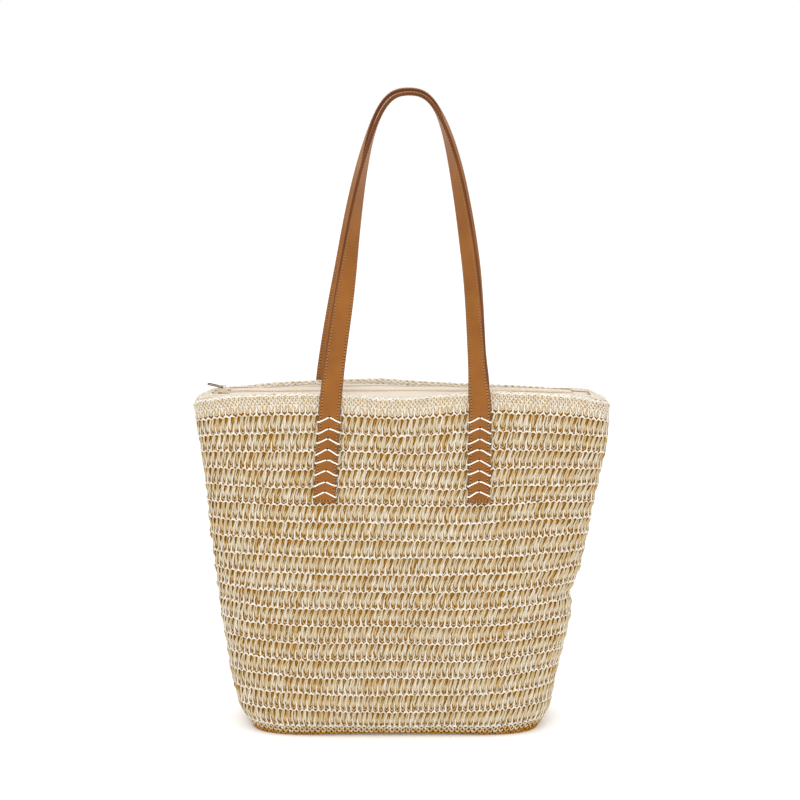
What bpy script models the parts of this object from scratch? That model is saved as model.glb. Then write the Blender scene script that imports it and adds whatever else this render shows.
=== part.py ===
"""Crocheted straw beach bag with two leather shoulder straps, a cloth lining and a zip mouth.

Units are metres. X runs along the bag, the front faces -Y, Z is up, and the origin is on the floor
under the middle of the bag.
"""

import math

import bmesh
import bpy
import numpy as np
from mathutils import Matrix, Vector

# Bag wall: height, half width, half depth and squareness of the oval outline, from floor to rim
WALL_STATIONS = (
    (0.004, 0.1520, 0.0640, 4.0),
    (0.020, 0.1580, 0.0660, 4.0),
    (0.060, 0.1675, 0.0660, 3.7),
    (0.120, 0.1780, 0.0640, 3.4),
    (0.180, 0.1865, 0.0610, 3.2),
    (0.240, 0.1955, 0.0570, 3.0),
    (0.300, 0.2045, 0.0525, 2.9),
    (0.344, 0.2090, 0.0500, 2.9),
)
WALL_HEIGHTS = (0.020, 0.040, 0.060, 0.090, 0.120, 0.180, 0.240, 0.300)  # rings of the wall and lining
RIM_HEIGHT = 0.344
RIM_BAND_BOTTOM = 0.3255
BASE_THICKNESS = 0.0040
STRAW_THICKNESS = 0.0034
GAP = 0.0003  # clearance between pieces that touch on the real bag
RIM_ROUNDING = 0.0010
BASE_EDGE = 0.0012
AROUND = 64  # points round each ring of the wall
OUTLINE_SAMPLES = 1440
SMOOTH_ANGLE_DEG = 35

# Lining and the cloth facing at the mouth
LINING_INSET = 0.0039  # from the wall's outside, leaving 0.5 mm behind the straw
LINING_THICKNESS = 0.0008
LINING_BOTTOM = BASE_THICKNESS + GAP
FACING_TOP = 0.3425
FACING_SKIRT_BOTTOM = 0.3225
FACING_THICKNESS = 0.0010
LEDGE_SHARE = 0.55  # the ledge blank reaches in to this share of the rim before the mouth is cut
MOUTH_HALF_LENGTH = 0.1730
MOUTH_HALF_WIDTH = 0.0328
NOTCH_HALF_LENGTH = 0.1905
NOTCH_HALF_WIDTH = 0.0136
CUT_MARGIN = 0.0100  # how far a cutter reaches past what it cuts
CUT_REACH = 0.3000

# Zip
FLAP_HINGE_Y = 0.0320
FLAP_EDGE_Y = 0.0058
FLAP_HALF_LENGTH = 0.1727
TAPE_TOP = 0.3411
TAPE_THICKNESS = 0.0008
TAPE_OUTER_Y = 0.0130
CHAIN_HALF_GAP = 0.0010
COIL_OUTER_Y = 0.0038
COIL_HEIGHT = 0.0022
COIL_ROUNDING = 0.0006
ZIP_END_X = 0.1925
ZIP_SLOT_END_X = 0.1870
STOP_X = 0.1885
STOP_LENGTH = 0.0020
STOP_ROUNDING = 0.0004
SLIDER_X = -0.1800
SLIDER_LENGTH = 0.0110
SLIDER_HALF_WIDTH = 0.0047
SLIDER_PLATE = 0.0012
SLIDER_TOP_PLATE_BOTTOM = 0.3440
SLIDER_BOTTOM_PLATE_TOP = 0.3397
SLIDER_FLANGE = 0.0006
SLIDER_FLANGE_BOTTOM = 0.3416
DIVIDER_HALF_WIDTH = 0.0006
DIVIDER_START = 0.0005  # from the slider's closed end
DIVIDER_LENGTH = 0.0040
BRIDGE_HALF_LENGTH = 0.0034
BRIDGE_HALF_WIDTH = 0.0011
BRIDGE_POST = 0.0010
BRIDGE_THICKNESS = 0.0008
BRIDGE_RISE = 0.0019  # from the pull's pivot to the bridge's top
PULL_PIVOT_Z = 0.3463
PULL_LENGTH = 0.0150
PULL_HALF_WIDTH = 0.0040
PULL_WIRE_RADIUS = 0.0006
PULL_CORNER = 0.0018
PULL_TILT_DEG = 12.0

# Straps
STRAP_WIDTH = 0.0214
PLY_THICKNESS = 0.0016
PLY_GAP = 0.0003
STRAP_STANDOFF = 0.0018  # from the wall to the back of a sewn strap end, filled by the thread
STRAP_FOLD_Z = 0.3378
HINGE_STANDOFF = 0.0065  # from a strap's middle surface out to the line it folds about
STRAP_SPLIT = 0.0006
STRAP_END_BOTTOM = 0.2400
STRAP_END_ROWS = 9
SLOPE_STEP = 0.0040
LOOP_STATIONS = 56
LOOP_SAMPLES = 900
ARCH_POWER = 2.827  # depth below the apex grows with this power of the half width
ARCH_SCALE_MM = 9.79
STRAP_OFFSET = STRAP_STANDOFF + PLY_THICKNESS + PLY_GAP / 2  # from the wall to the strap's middle surface
ARCH_SHIFT_RISE = 0.140  # height over which the arch's middle drifts sideways
HANDLE_APEX_Y = 0.0128
TWIST_START_Z = 0.3420
# How far each leg has turned edge on, in degrees, at heights above TWIST_START_Z
TWIST_LEFT = (
    (0.0, 0.0),
    (0.030, 15.0),
    (0.090, 25.0),
    (0.155, 52.0),
    (0.214, 72.0),
    (0.251, 85.5),
    (0.275, 90.0),
)
TWIST_RIGHT = (
    (0.0, 0.0),
    (0.014, 24.0),
    (0.030, 37.0),
    (0.090, 44.0),
    (0.155, 50.0),
    (0.214, 61.5),
    (0.251, 75.0),
    (0.285, 90.0),
)
HANDLES = {
    # side sign in Y, apex height, widening, arch middle at the fold and at the top, strap end feet in X
    "front": {
        "sign": -1,
        "apex": 0.6400,
        "widen": 1.00,
        "mid": (0.0039, 0.0079),
        "feet": (-0.0760, 0.0765),
    },
    "back": {
        "sign": 1,
        "apex": 0.6430,
        "widen": 1.07,
        "mid": (0.0014, 0.0072),
        "feet": (-0.0790, 0.0815),
    },
}

# Thread that sews the strap ends down
CHEVRON_COUNT = 8
CHEVRON_TOP_Z = 0.3250
CHEVRON_PITCH = 0.0106
CHEVRON_DROP = 0.0055
THREAD_RADIUS = 0.0006
THREAD_GAP = 0.0003
THREAD_CORNER = 0.0009

COLOURS = {
    # name: base colour, roughness, metallic
    "straw": ((0.66, 0.52, 0.35), 0.80, 0.0),
    "straw_rim": ((0.74, 0.63, 0.47), 0.80, 0.0),
    "leather": ((0.38, 0.15, 0.045), 0.45, 0.0),
    "leather_inner": ((0.34, 0.14, 0.05), 0.55, 0.0),
    "thread": ((0.83, 0.76, 0.62), 0.75, 0.0),
    "lining": ((0.72, 0.60, 0.45), 0.90, 0.0),
    "tape": ((0.64, 0.51, 0.36), 0.90, 0.0),
    "coil": ((0.70, 0.58, 0.42), 0.50, 0.0),
    "zip_metal": ((0.10, 0.055, 0.03), 0.35, 0.9),
}


def clear_scene():
    for obj in list(bpy.data.objects):
        bpy.data.objects.remove(obj, do_unlink=True)


def new_collection(name):
    collection = bpy.data.collections.new(name)
    bpy.context.scene.collection.children.link(collection)
    return collection


def add_material(obj, kind):
    colour, roughness, metallic = COLOURS[kind]
    material = bpy.data.materials.new(obj.name)
    material.use_nodes = True
    shader = material.node_tree.nodes["Principled BSDF"]
    shader.inputs["Base Color"].default_value = (*colour, 1.0)
    shader.inputs["Roughness"].default_value = roughness
    shader.inputs["Metallic"].default_value = metallic
    obj.data.materials.append(material)


def finish(obj, kind, collection, smooth=True):
    collection.objects.link(obj)
    add_material(obj, kind)
    if smooth and obj.type == "MESH":
        obj.data.shade_smooth()
        obj.data.set_sharp_from_angle(angle=math.radians(SMOOTH_ANGLE_DEG))
    return obj


def mesh_object(name, bm):
    bmesh.ops.recalc_face_normals(bm, faces=bm.faces)
    mesh = bpy.data.meshes.new(name)
    bm.to_mesh(mesh)
    bm.free()
    return bpy.data.objects.new(name, mesh)


# The wall's shape


def wall_station(z):
    """Half width, half depth and squareness of the wall's outside at a height."""
    table = np.array(WALL_STATIONS)
    return [float(np.interp(z, table[:, 0], table[:, column])) for column in (1, 2, 3)]


def oval(half_width, half_depth, power, count):
    """Points evenly spaced round a squared oval, starting at +X and turning towards +Y."""
    t = np.linspace(0, 2 * math.pi, OUTLINE_SAMPLES + 1)
    c = np.cos(t)
    s = np.sin(t)
    x = half_width * np.sign(c) * np.abs(c) ** (2 / power)
    y = half_depth * np.sign(s) * np.abs(s) ** (2 / power)
    along = np.concatenate(([0.0], np.cumsum(np.hypot(np.diff(x), np.diff(y)))))
    at = np.linspace(0, along[-1], count, endpoint=False)
    return np.stack((np.interp(at, along, x), np.interp(at, along, y)), axis=1)


def outward(points, half_width, half_depth, power):
    """Unit normals of the squared oval at points on it."""
    x, y = points[:, 0], points[:, 1]
    normal = np.stack(
        (
            np.sign(x) * np.abs(x / half_width) ** (power - 1) / half_width,
            np.sign(y) * np.abs(y / half_depth) ** (power - 1) / half_depth,
        ),
        axis=1,
    )
    return normal / np.linalg.norm(normal, axis=1, keepdims=True)


def wall_ring(z, inset, height=None):
    """A ring of the wall's outline at height z, moved in by inset and placed at height."""
    half_width, half_depth, power = wall_station(z)
    points = oval(half_width, half_depth, power, AROUND)
    points = points - inset * outward(points, half_width, half_depth, power)
    return [(x, y, z if height is None else height) for x, y in points]


def wall_y(x, z):
    """Distance of the wall's outside from the middle plane at a place along the bag."""
    half_width, half_depth, power = wall_station(z)
    return half_depth * (1 - abs(x / half_width) ** power) ** (1 / power)


def add_band(bm, ring, other, falling):
    """Faces between two rings, split on the diagonal that rises with the turn, so that shells nest."""
    count = len(ring)
    for i in range(count):
        j = (i + 1) % count
        if falling:
            bm.faces.new((ring[i], ring[j], other[i]))
            bm.faces.new((ring[j], other[j], other[i]))
        else:
            bm.faces.new((ring[i], ring[j], other[j]))
            bm.faces.new((ring[i], other[j], other[i]))


def ring_solid(name, rings, loop):
    """A closed solid through rings of points, either capped at both ends or closed round as a tube."""
    bm = bmesh.new()
    layers = [[bm.verts.new(point) for point in ring] for ring in rings]
    pairs = list(zip(layers, layers[1:]))
    if loop:
        pairs.append((layers[-1], layers[0]))
    for ring, other in pairs:
        add_band(bm, ring, other, falling=other[0].co.z < ring[0].co.z)
    if not loop:
        bm.faces.new(reversed(layers[0]))
        bm.faces.new(layers[-1])
    return mesh_object(name, bm)


# Straw shell


def build_straw_body(collection):
    heights = [BASE_THICKNESS + GAP, *WALL_HEIGHTS, RIM_BAND_BOTTOM - GAP]
    outside = [wall_ring(z, 0.0) for z in heights]
    inside = [wall_ring(z, STRAW_THICKNESS) for z in reversed(heights)]
    finish(ring_solid("straw_body", outside + inside, loop=True), "straw", collection)


def build_straw_base(collection):
    rings = [
        wall_ring(BASE_THICKNESS, 2 * BASE_EDGE, 0.0),
        wall_ring(BASE_THICKNESS, BASE_EDGE / 2, BASE_EDGE),
        wall_ring(BASE_THICKNESS, 0.0),
    ]
    finish(ring_solid("straw_base", rings, loop=False), "straw", collection)


def build_rim_band(collection):
    shoulder = RIM_HEIGHT - RIM_ROUNDING
    rings = [
        wall_ring(RIM_BAND_BOTTOM, 0.0),
        wall_ring(shoulder, 0.0),
        wall_ring(RIM_HEIGHT, RIM_ROUNDING),
        wall_ring(RIM_HEIGHT, STRAW_THICKNESS - RIM_ROUNDING),
        wall_ring(shoulder, STRAW_THICKNESS),
        wall_ring(RIM_BAND_BOTTOM, STRAW_THICKNESS),
    ]
    finish(ring_solid("rim_band", rings, loop=True), "straw_rim", collection)


# Lining and facing


def build_lining(collection):
    bottom = LINING_BOTTOM + LINING_THICKNESS + GAP
    heights = [bottom, *WALL_HEIGHTS, FACING_SKIRT_BOTTOM - GAP]
    outer = [wall_ring(z, LINING_INSET) for z in heights]
    inner = [wall_ring(z, LINING_INSET + LINING_THICKNESS) for z in reversed(heights)]
    finish(ring_solid("lining_wall", outer + inner, loop=True), "lining", collection)

    inset = LINING_INSET + GAP
    rings = [wall_ring(LINING_BOTTOM, inset, z) for z in (LINING_BOTTOM, LINING_BOTTOM + LINING_THICKNESS)]
    finish(ring_solid("lining_base", rings, loop=False), "lining", collection)


def box_object(name, low, high):
    bm = bmesh.new()
    bmesh.ops.create_cube(bm, size=1.0)
    bmesh.ops.scale(bm, vec=[b - a for a, b in zip(low, high)], verts=bm.verts)
    bmesh.ops.translate(bm, vec=[(a + b) / 2 for a, b in zip(low, high)], verts=bm.verts)
    return mesh_object(name, bm)


def cutter_box(name, low, high, collection):
    cutter = box_object(name, low, high)
    collection.objects.link(cutter)
    cutter.hide_render = True
    cutter.display_type = "WIRE"
    return cutter


def add_boolean(obj, other, operation):
    modifier = obj.modifiers.new(other.name, "BOOLEAN")
    modifier.operation = operation
    modifier.solver = "EXACT"
    modifier.object = other


def facing_blank(name):
    """A ledge with a skirt, round the whole mouth, before the zip opening is cut out of it."""
    inset = LINING_INSET
    thin = FACING_THICKNESS
    low = FACING_SKIRT_BOTTOM
    under = FACING_TOP - thin
    rim = wall_ring(RIM_HEIGHT, inset)
    hole_top = [(LEDGE_SHARE * x, LEDGE_SHARE * y, FACING_TOP) for x, y, z in rim]
    hole_bottom = [(LEDGE_SHARE * x, LEDGE_SHARE * y, under) for x, y, z in rim]
    rings = [
        wall_ring(low, inset),
        wall_ring(FACING_TOP, inset),
        hole_top,
        hole_bottom,
        wall_ring(under, inset + thin),
        wall_ring(low, inset + thin),
    ]
    return ring_solid(name, rings, loop=True)


def build_facing(collection, cutters):
    below = FACING_SKIRT_BOTTOM - CUT_MARGIN
    above = RIM_HEIGHT + CUT_MARGIN
    mouth = cutter_box(
        "mouth_cut",
        (-MOUTH_HALF_LENGTH, -MOUTH_HALF_WIDTH, below),
        (MOUTH_HALF_LENGTH, MOUTH_HALF_WIDTH, above),
        cutters,
    )
    notch = cutter_box(
        "notch_cut",
        (-NOTCH_HALF_LENGTH, -NOTCH_HALF_WIDTH, below),
        (NOTCH_HALF_LENGTH, NOTCH_HALF_WIDTH, above),
        cutters,
    )
    for side, sign in (("front", -1), ("back", 1)):
        facing = facing_blank("mouth_facing_" + side)
        low_y, high_y = sorted((-sign * CUT_REACH, sign * GAP / 2))
        half = cutter_box(
            "half_cut_" + side,
            (-CUT_REACH, low_y, below),
            (CUT_REACH, high_y, above),
            cutters,
        )
        for cutter in (mouth, notch, half):
            add_boolean(facing, cutter, "DIFFERENCE")
        finish(facing, "lining", collection, smooth=False)


# Zip


def on_side(sign, near, far):
    """The low and high Y of a strip between two distances from the middle, on one side."""
    return sorted((sign * near, sign * far))


def build_flap(side, sign, collection):
    """Cloth panel, zip tape and coil of one side, all turning about the panel's outer edge."""
    under = FACING_TOP - FACING_THICKNESS
    pivot = Vector((0.0, sign * FLAP_HINGE_Y, FACING_TOP - FACING_THICKNESS / 2))
    hinge = bpy.data.objects.new("flap_hinge_" + side, None)
    hinge.location = pivot
    collection.objects.link(hinge)
    coil_bottom = TAPE_TOP + GAP
    strips = {
        "zip_flap_": ("lining", FLAP_EDGE_Y, FLAP_HINGE_Y, under, FACING_TOP),
        "zip_tape_": ("tape", CHAIN_HALF_GAP, TAPE_OUTER_Y, TAPE_TOP - TAPE_THICKNESS, TAPE_TOP),
        "zip_coil_": ("coil", CHAIN_HALF_GAP, COIL_OUTER_Y, coil_bottom, coil_bottom + COIL_HEIGHT),
    }
    for name, (kind, near, far, low_z, high_z) in strips.items():
        low_y, high_y = on_side(sign, near, far)
        low = (-FLAP_HALF_LENGTH, low_y, low_z)
        high = (FLAP_HALF_LENGTH, high_y, high_z)
        strip = box_object(name + side, low, high)
        strip.data.transform(Matrix.Translation(-pivot))
        strip.parent = hinge
        if kind == "coil":
            bevel = strip.modifiers.new("round", "BEVEL")
            bevel.width = COIL_ROUNDING
            bevel.segments = 2
        finish(strip, kind, collection, smooth=False)


def build_zip_end(name, sign, collection, cutters):
    """The sewn-down end of the zip: both tapes joined beyond a slot, with the last of the coils."""
    inner_x = sign * (MOUTH_HALF_LENGTH + GAP)
    low_x, high_x = sorted((inner_x, sign * ZIP_END_X))
    tape = box_object(
        name,
        (low_x, -TAPE_OUTER_Y, TAPE_TOP - TAPE_THICKNESS),
        (high_x, TAPE_OUTER_Y, TAPE_TOP),
    )
    coil_low, coil_high = sorted((inner_x, sign * ZIP_SLOT_END_X))
    coils = cutter_box(
        name + "_coils",
        (coil_low, -COIL_OUTER_Y, TAPE_TOP - TAPE_THICKNESS / 2),
        (coil_high, COIL_OUTER_Y, TAPE_TOP + GAP + COIL_HEIGHT),
        cutters,
    )
    slot_low, slot_high = sorted((inner_x - sign * CUT_MARGIN, sign * ZIP_SLOT_END_X))
    slot = cutter_box(
        name + "_slot",
        (slot_low, -CHAIN_HALF_GAP, TAPE_TOP - CUT_MARGIN),
        (slot_high, CHAIN_HALF_GAP, TAPE_TOP + CUT_MARGIN),
        cutters,
    )
    add_boolean(tape, coils, "UNION")
    add_boolean(tape, slot, "DIFFERENCE")
    finish(tape, "tape", collection, smooth=False)


def build_zip_stop(name, sign, collection):
    half = STOP_LENGTH / 2
    stop = box_object(
        name,
        (sign * STOP_X - half, -COIL_OUTER_Y, TAPE_TOP + GAP),
        (sign * STOP_X + half, COIL_OUTER_Y, TAPE_TOP + GAP + COIL_HEIGHT),
    )
    bevel = stop.modifiers.new("round", "BEVEL")
    bevel.width = STOP_ROUNDING
    bevel.segments = 2
    finish(stop, "zip_metal", collection, smooth=False)


def build_slider(collection, cutters):
    """Two plates joined by the divider between the coils, flanges at the sides and a bridge on top."""
    low_x = SLIDER_X - SLIDER_LENGTH / 2
    high_x = SLIDER_X + SLIDER_LENGTH / 2
    wide = SLIDER_HALF_WIDTH
    top = SLIDER_TOP_PLATE_BOTTOM
    bottom = SLIDER_BOTTOM_PLATE_TOP
    in_top = top + SLIDER_PLATE / 2
    in_bottom = bottom - SLIDER_PLATE / 2
    bridge_top = PULL_PIVOT_Z + BRIDGE_RISE
    in_bridge = bridge_top - BRIDGE_THICKNESS / 2
    far = BRIDGE_HALF_LENGTH
    near = far - BRIDGE_POST
    narrow = BRIDGE_HALF_WIDTH
    slider = box_object("zip_slider", (low_x, -wide, top), (high_x, wide, top + SLIDER_PLATE))
    parts = {
        "slider_bottom": ((low_x, -wide, bottom - SLIDER_PLATE), (high_x, wide, bottom)),
        "slider_divider": (
            (low_x + DIVIDER_START, -DIVIDER_HALF_WIDTH, in_bottom),
            (low_x + DIVIDER_START + DIVIDER_LENGTH, DIVIDER_HALF_WIDTH, in_top),
        ),
        "slider_flange_front": (
            (low_x, -wide, SLIDER_FLANGE_BOTTOM),
            (high_x, -wide + SLIDER_FLANGE, in_top),
        ),
        "slider_flange_back": (
            (low_x, wide - SLIDER_FLANGE, SLIDER_FLANGE_BOTTOM),
            (high_x, wide, in_top),
        ),
        "slider_post_left": (
            (SLIDER_X - far, -narrow, in_top),
            (SLIDER_X - near, narrow, in_bridge),
        ),
        "slider_post_right": (
            (SLIDER_X + near, -narrow, in_top),
            (SLIDER_X + far, narrow, in_bridge),
        ),
        "slider_bridge": (
            (SLIDER_X - far, -narrow, bridge_top - BRIDGE_THICKNESS),
            (SLIDER_X + far, narrow, bridge_top),
        ),
    }
    for name, (low, high) in parts.items():
        add_boolean(slider, cutter_box(name, low, high, cutters), "UNION")
    slider.data.transform(Matrix.Translation(-Vector((SLIDER_X, 0.0, top))))
    slider.location = (SLIDER_X, 0.0, top)
    finish(slider, "zip_metal", collection, smooth=False)


def build_pull(collection):
    """A wire loop through the slider's bridge, with its origin on the pivot."""
    curve = bpy.data.curves.new("zip_pull", "CURVE")
    curve.dimensions = "3D"
    curve.bevel_depth = PULL_WIRE_RADIUS
    curve.bevel_resolution = 2
    spline = curve.splines.new("POLY")
    points = []
    near_x, far_x = -PULL_CORNER, PULL_CORNER - PULL_LENGTH
    side_y = PULL_HALF_WIDTH - PULL_CORNER
    corners = ((near_x, side_y), (far_x, side_y), (far_x, -side_y), (near_x, -side_y))
    for index, (x, y) in enumerate(corners):
        for step in range(4):
            angle = math.radians(90 * index + 30 * step)
            points.append((x + PULL_CORNER * math.cos(angle), y + PULL_CORNER * math.sin(angle), 0.0))
    spline.points.add(len(points) - 1)
    for point, place in zip(spline.points, points):
        point.co = (*place, 1.0)
    spline.use_cyclic_u = True
    pull = bpy.data.objects.new("zip_pull", curve)
    pull.location = (SLIDER_X, 0.0, PULL_PIVOT_Z)
    pull.rotation_euler = (0.0, math.radians(PULL_TILT_DEG), 0.0)
    finish(pull, "zip_metal", collection)


# Straps


def smoothstep(value):
    value = min(max(value, 0.0), 1.0)
    return value * value * (3 - 2 * value)


def arch_half_width(depth, handle):
    return handle["widen"] * ARCH_SCALE_MM * (1000 * depth) ** (1 / ARCH_POWER) / 1000


def handle_line(handle):
    """Evenly spaced points along the middle of a strap's free loop, from its left foot to its right."""
    start = STRAP_FOLD_Z + STRAP_SPLIT / 2
    reach = arch_half_width(handle["apex"] - start, handle)
    foot_y = wall_y(reach, start) + STRAP_OFFSET
    across = np.linspace(-reach, reach, LOOP_SAMPLES)
    depth = (np.abs(across) * 1000 / (handle["widen"] * ARCH_SCALE_MM)) ** ARCH_POWER / 1000
    z = handle["apex"] - depth
    low, high = handle["mid"]
    drift = np.array([smoothstep((value - start) / ARCH_SHIFT_RISE) for value in z])
    x = across + low + (high - low) * drift
    lean = (z - start) / (handle["apex"] - start)
    y = handle["sign"] * (foot_y + (HANDLE_APEX_Y - foot_y) * lean)
    line = np.stack((x, y, z), axis=1)
    along = np.concatenate(([0.0], np.cumsum(np.linalg.norm(np.diff(line, axis=0), axis=1))))
    at = np.linspace(0, along[-1], LOOP_STATIONS)
    return np.stack([np.interp(at, along, line[:, axis]) for axis in range(3)], axis=1)


def twist_at(z, left):
    table = np.array(TWIST_LEFT if left else TWIST_RIGHT)
    return math.radians(float(np.interp(z - TWIST_START_Z, table[:, 0], table[:, 1])))


def loop_frames(handle):
    """Centre, width direction and outward face direction of the strap at each station of the loop."""
    sign = handle["sign"]
    line = handle_line(handle)
    tangents = np.gradient(line, axis=0)
    tangents[0] = (0.0, 0.0, 1.0)
    tangents[-1] = (0.0, 0.0, -1.0)
    apex = int(np.argmax(line[:, 2]))
    frames = []
    for index, (centre, tangent) in enumerate(zip(line, tangents)):
        along = Vector(tangent).normalized()
        across = Vector((0.0, 1.0, 0.0))
        across = (across - along * across.dot(along)).normalized()
        inward = across.cross(along)
        twist = twist_at(centre[2], index < apex)
        width = (inward * math.cos(twist) - across * math.sin(twist) * sign).normalized()
        frames.append((Vector(centre), width, width.cross(along) * -sign))
    return frames


def ply_rings(frames, near, far):
    """Four-cornered sections of a ply between two offsets from the strap's middle surface."""
    half = STRAP_WIDTH / 2
    rings = []
    for centre, width, face in frames:
        rings.append(
            [
                centre - width * half + face * near,
                centre + width * half + face * near,
                centre + width * half + face * far,
                centre - width * half + face * far,
            ]
        )
    return rings


def ply_solid(name, rings):
    """A closed strip whose two broad faces are split along the same diagonals, so that plies nest."""
    bm = bmesh.new()
    layers = [[bm.verts.new(point) for point in ring] for ring in rings]
    for low, high in zip(layers, layers[1:]):
        for i in range(4):
            j = (i + 1) % 4
            if i == 2:
                bm.faces.new((low[i], low[j], high[i]))
                bm.faces.new((low[j], high[j], high[i]))
            else:
                bm.faces.new((low[i], low[j], high[j]))
                bm.faces.new((low[i], high[j], high[i]))
    bm.faces.new(reversed(layers[0]))
    bm.faces.new(layers[-1])
    return mesh_object(name, bm)


def ply_offsets():
    near = PLY_GAP / 2
    return {"outer_ply": (near, near + PLY_THICKNESS), "inner_ply": (-near - PLY_THICKNESS, -near)}


def build_handle_loop(side, handle, collection):
    frames = loop_frames(handle)
    pivot = Vector((0.0, frames[0][0].y + handle["sign"] * HINGE_STANDOFF, STRAP_FOLD_Z))
    hinge = bpy.data.objects.new("handle_hinge_" + side, None)
    hinge.location = pivot
    collection.objects.link(hinge)
    for ply, (near, far) in ply_offsets().items():
        loop = ply_solid(f"{side}_handle_{ply}", ply_rings(frames, near, far))
        loop.data.transform(Matrix.Translation(-pivot))
        loop.parent = hinge
        finish(loop, "leather" if ply == "outer_ply" else "leather_inner", collection)
    return frames


def end_frames(handle, top_x, foot_x):
    """Frames down a sewn strap end, which lies along the wall."""
    sign = handle["sign"]
    top_z = STRAP_FOLD_Z - STRAP_SPLIT / 2
    frames = []
    for z in np.linspace(top_z, STRAP_END_BOTTOM, STRAP_END_ROWS):
        x = float(np.interp(z, (STRAP_END_BOTTOM, top_z), (foot_x, top_x)))
        side_slope = (wall_y(x + SLOPE_STEP, z) - wall_y(x - SLOPE_STEP, z)) / (2 * SLOPE_STEP)
        width = Vector((1.0, sign * side_slope, 0.0)).normalized()
        face = Vector((width.y, -width.x, 0.0))
        if face.y * sign < 0:
            face.negate()
        centre = Vector((x, sign * wall_y(x, z), z)) + face * STRAP_OFFSET
        frames.append((centre, width, face))
    return frames


def build_strap_end(name, frames, collection):
    for ply, (near, far) in ply_offsets().items():
        end = ply_solid(f"{name}_strap_end_{ply}", ply_rings(frames, near, far))
        finish(end, "leather" if ply == "outer_ply" else "leather_inner", collection)


def frame_at(frames, z):
    """The strap end's frame at a height, between the two nearest stations."""
    for upper, lower in zip(frames, frames[1:]):
        if lower[0].z <= z <= upper[0].z:
            part = (upper[0].z - z) / (upper[0].z - lower[0].z)
            return tuple(a.lerp(b, part) for a, b in zip(upper, lower))
    return frames[-1]


def thread_points(frames):
    """One thread that winds round the strap end, a chevron in front and a straight run behind."""
    half_strap = PLY_THICKNESS + PLY_GAP / 2
    front = half_strap + THREAD_GAP + THREAD_RADIUS
    behind = -half_strap - STRAP_STANDOFF / 2
    edge = STRAP_WIDTH / 2 + THREAD_GAP + THREAD_RADIUS
    points = []
    for row in range(CHEVRON_COUNT):
        peak = CHEVRON_TOP_Z - row * CHEVRON_PITCH
        foot = peak - CHEVRON_DROP
        for across, depth, z in (
            (-edge, behind, foot),
            (-edge, front - THREAD_CORNER, foot),
            (-edge + THREAD_CORNER, front, foot + THREAD_CORNER / 2),
            (0.0, front, peak),
            (edge - THREAD_CORNER, front, foot + THREAD_CORNER / 2),
            (edge, front - THREAD_CORNER, foot),
            (edge, behind, foot),
        ):
            centre, width, face = frame_at(frames, z)
            points.append(centre + width * across + face * depth)
    return points


def build_thread(name, frames, collection):
    curve = bpy.data.curves.new(name, "CURVE")
    curve.dimensions = "3D"
    curve.bevel_depth = THREAD_RADIUS
    curve.bevel_resolution = 1
    curve.use_fill_caps = True
    spline = curve.splines.new("POLY")
    points = thread_points(frames)
    spline.points.add(len(points) - 1)
    for point, place in zip(spline.points, points):
        point.co = (*place, 1.0)
    finish(bpy.data.objects.new(name, curve), "thread", collection)


def build_straps(collection):
    for side, handle in HANDLES.items():
        loop = build_handle_loop(side, handle, collection)
        tops = (loop[0][0].x, loop[-1][0].x)
        for end, top_x, foot_x in zip(("left", "right"), tops, handle["feet"]):
            frames = end_frames(handle, top_x, foot_x)
            build_strap_end(f"{side}_{end}", frames, collection)
            build_thread(f"{side}_{end}_chevron_thread", frames, collection)


def main():
    clear_scene()
    bag = new_collection("beach_bag")
    cutters = new_collection("cutters")
    build_straw_base(bag)
    build_straw_body(bag)
    build_rim_band(bag)
    build_lining(bag)
    build_facing(bag, cutters)
    for side, sign in (("front", -1), ("back", 1)):
        build_flap(side, sign, bag)
    for side, sign in (("left", -1), ("right", 1)):
        build_zip_end("zip_end_" + side, sign, bag, cutters)
        build_zip_stop("zip_stop_" + side, sign, bag)
    build_slider(bag, cutters)
    build_pull(bag)
    build_straps(bag)
    bpy.context.view_layer.update()


main()
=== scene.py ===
"""Crocheted straw beach bag: the visible model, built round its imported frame."""

import functools
import math

import bpy
import numpy as np
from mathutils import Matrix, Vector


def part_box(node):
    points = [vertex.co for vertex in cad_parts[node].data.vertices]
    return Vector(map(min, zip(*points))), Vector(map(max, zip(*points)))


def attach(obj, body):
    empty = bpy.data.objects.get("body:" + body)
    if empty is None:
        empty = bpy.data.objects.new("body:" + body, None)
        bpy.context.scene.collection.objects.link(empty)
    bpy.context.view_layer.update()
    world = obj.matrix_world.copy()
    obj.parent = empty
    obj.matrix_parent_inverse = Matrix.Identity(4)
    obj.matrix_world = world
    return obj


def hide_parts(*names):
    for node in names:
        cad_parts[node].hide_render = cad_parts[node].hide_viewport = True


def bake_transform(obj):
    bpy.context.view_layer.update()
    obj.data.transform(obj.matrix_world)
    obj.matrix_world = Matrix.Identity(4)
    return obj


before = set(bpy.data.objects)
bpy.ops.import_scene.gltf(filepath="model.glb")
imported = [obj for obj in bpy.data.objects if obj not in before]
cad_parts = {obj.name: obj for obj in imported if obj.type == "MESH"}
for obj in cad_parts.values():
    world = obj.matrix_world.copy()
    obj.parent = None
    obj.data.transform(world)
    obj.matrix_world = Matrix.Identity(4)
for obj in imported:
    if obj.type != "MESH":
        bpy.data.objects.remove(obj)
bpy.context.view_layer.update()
MM = 0.001

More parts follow.
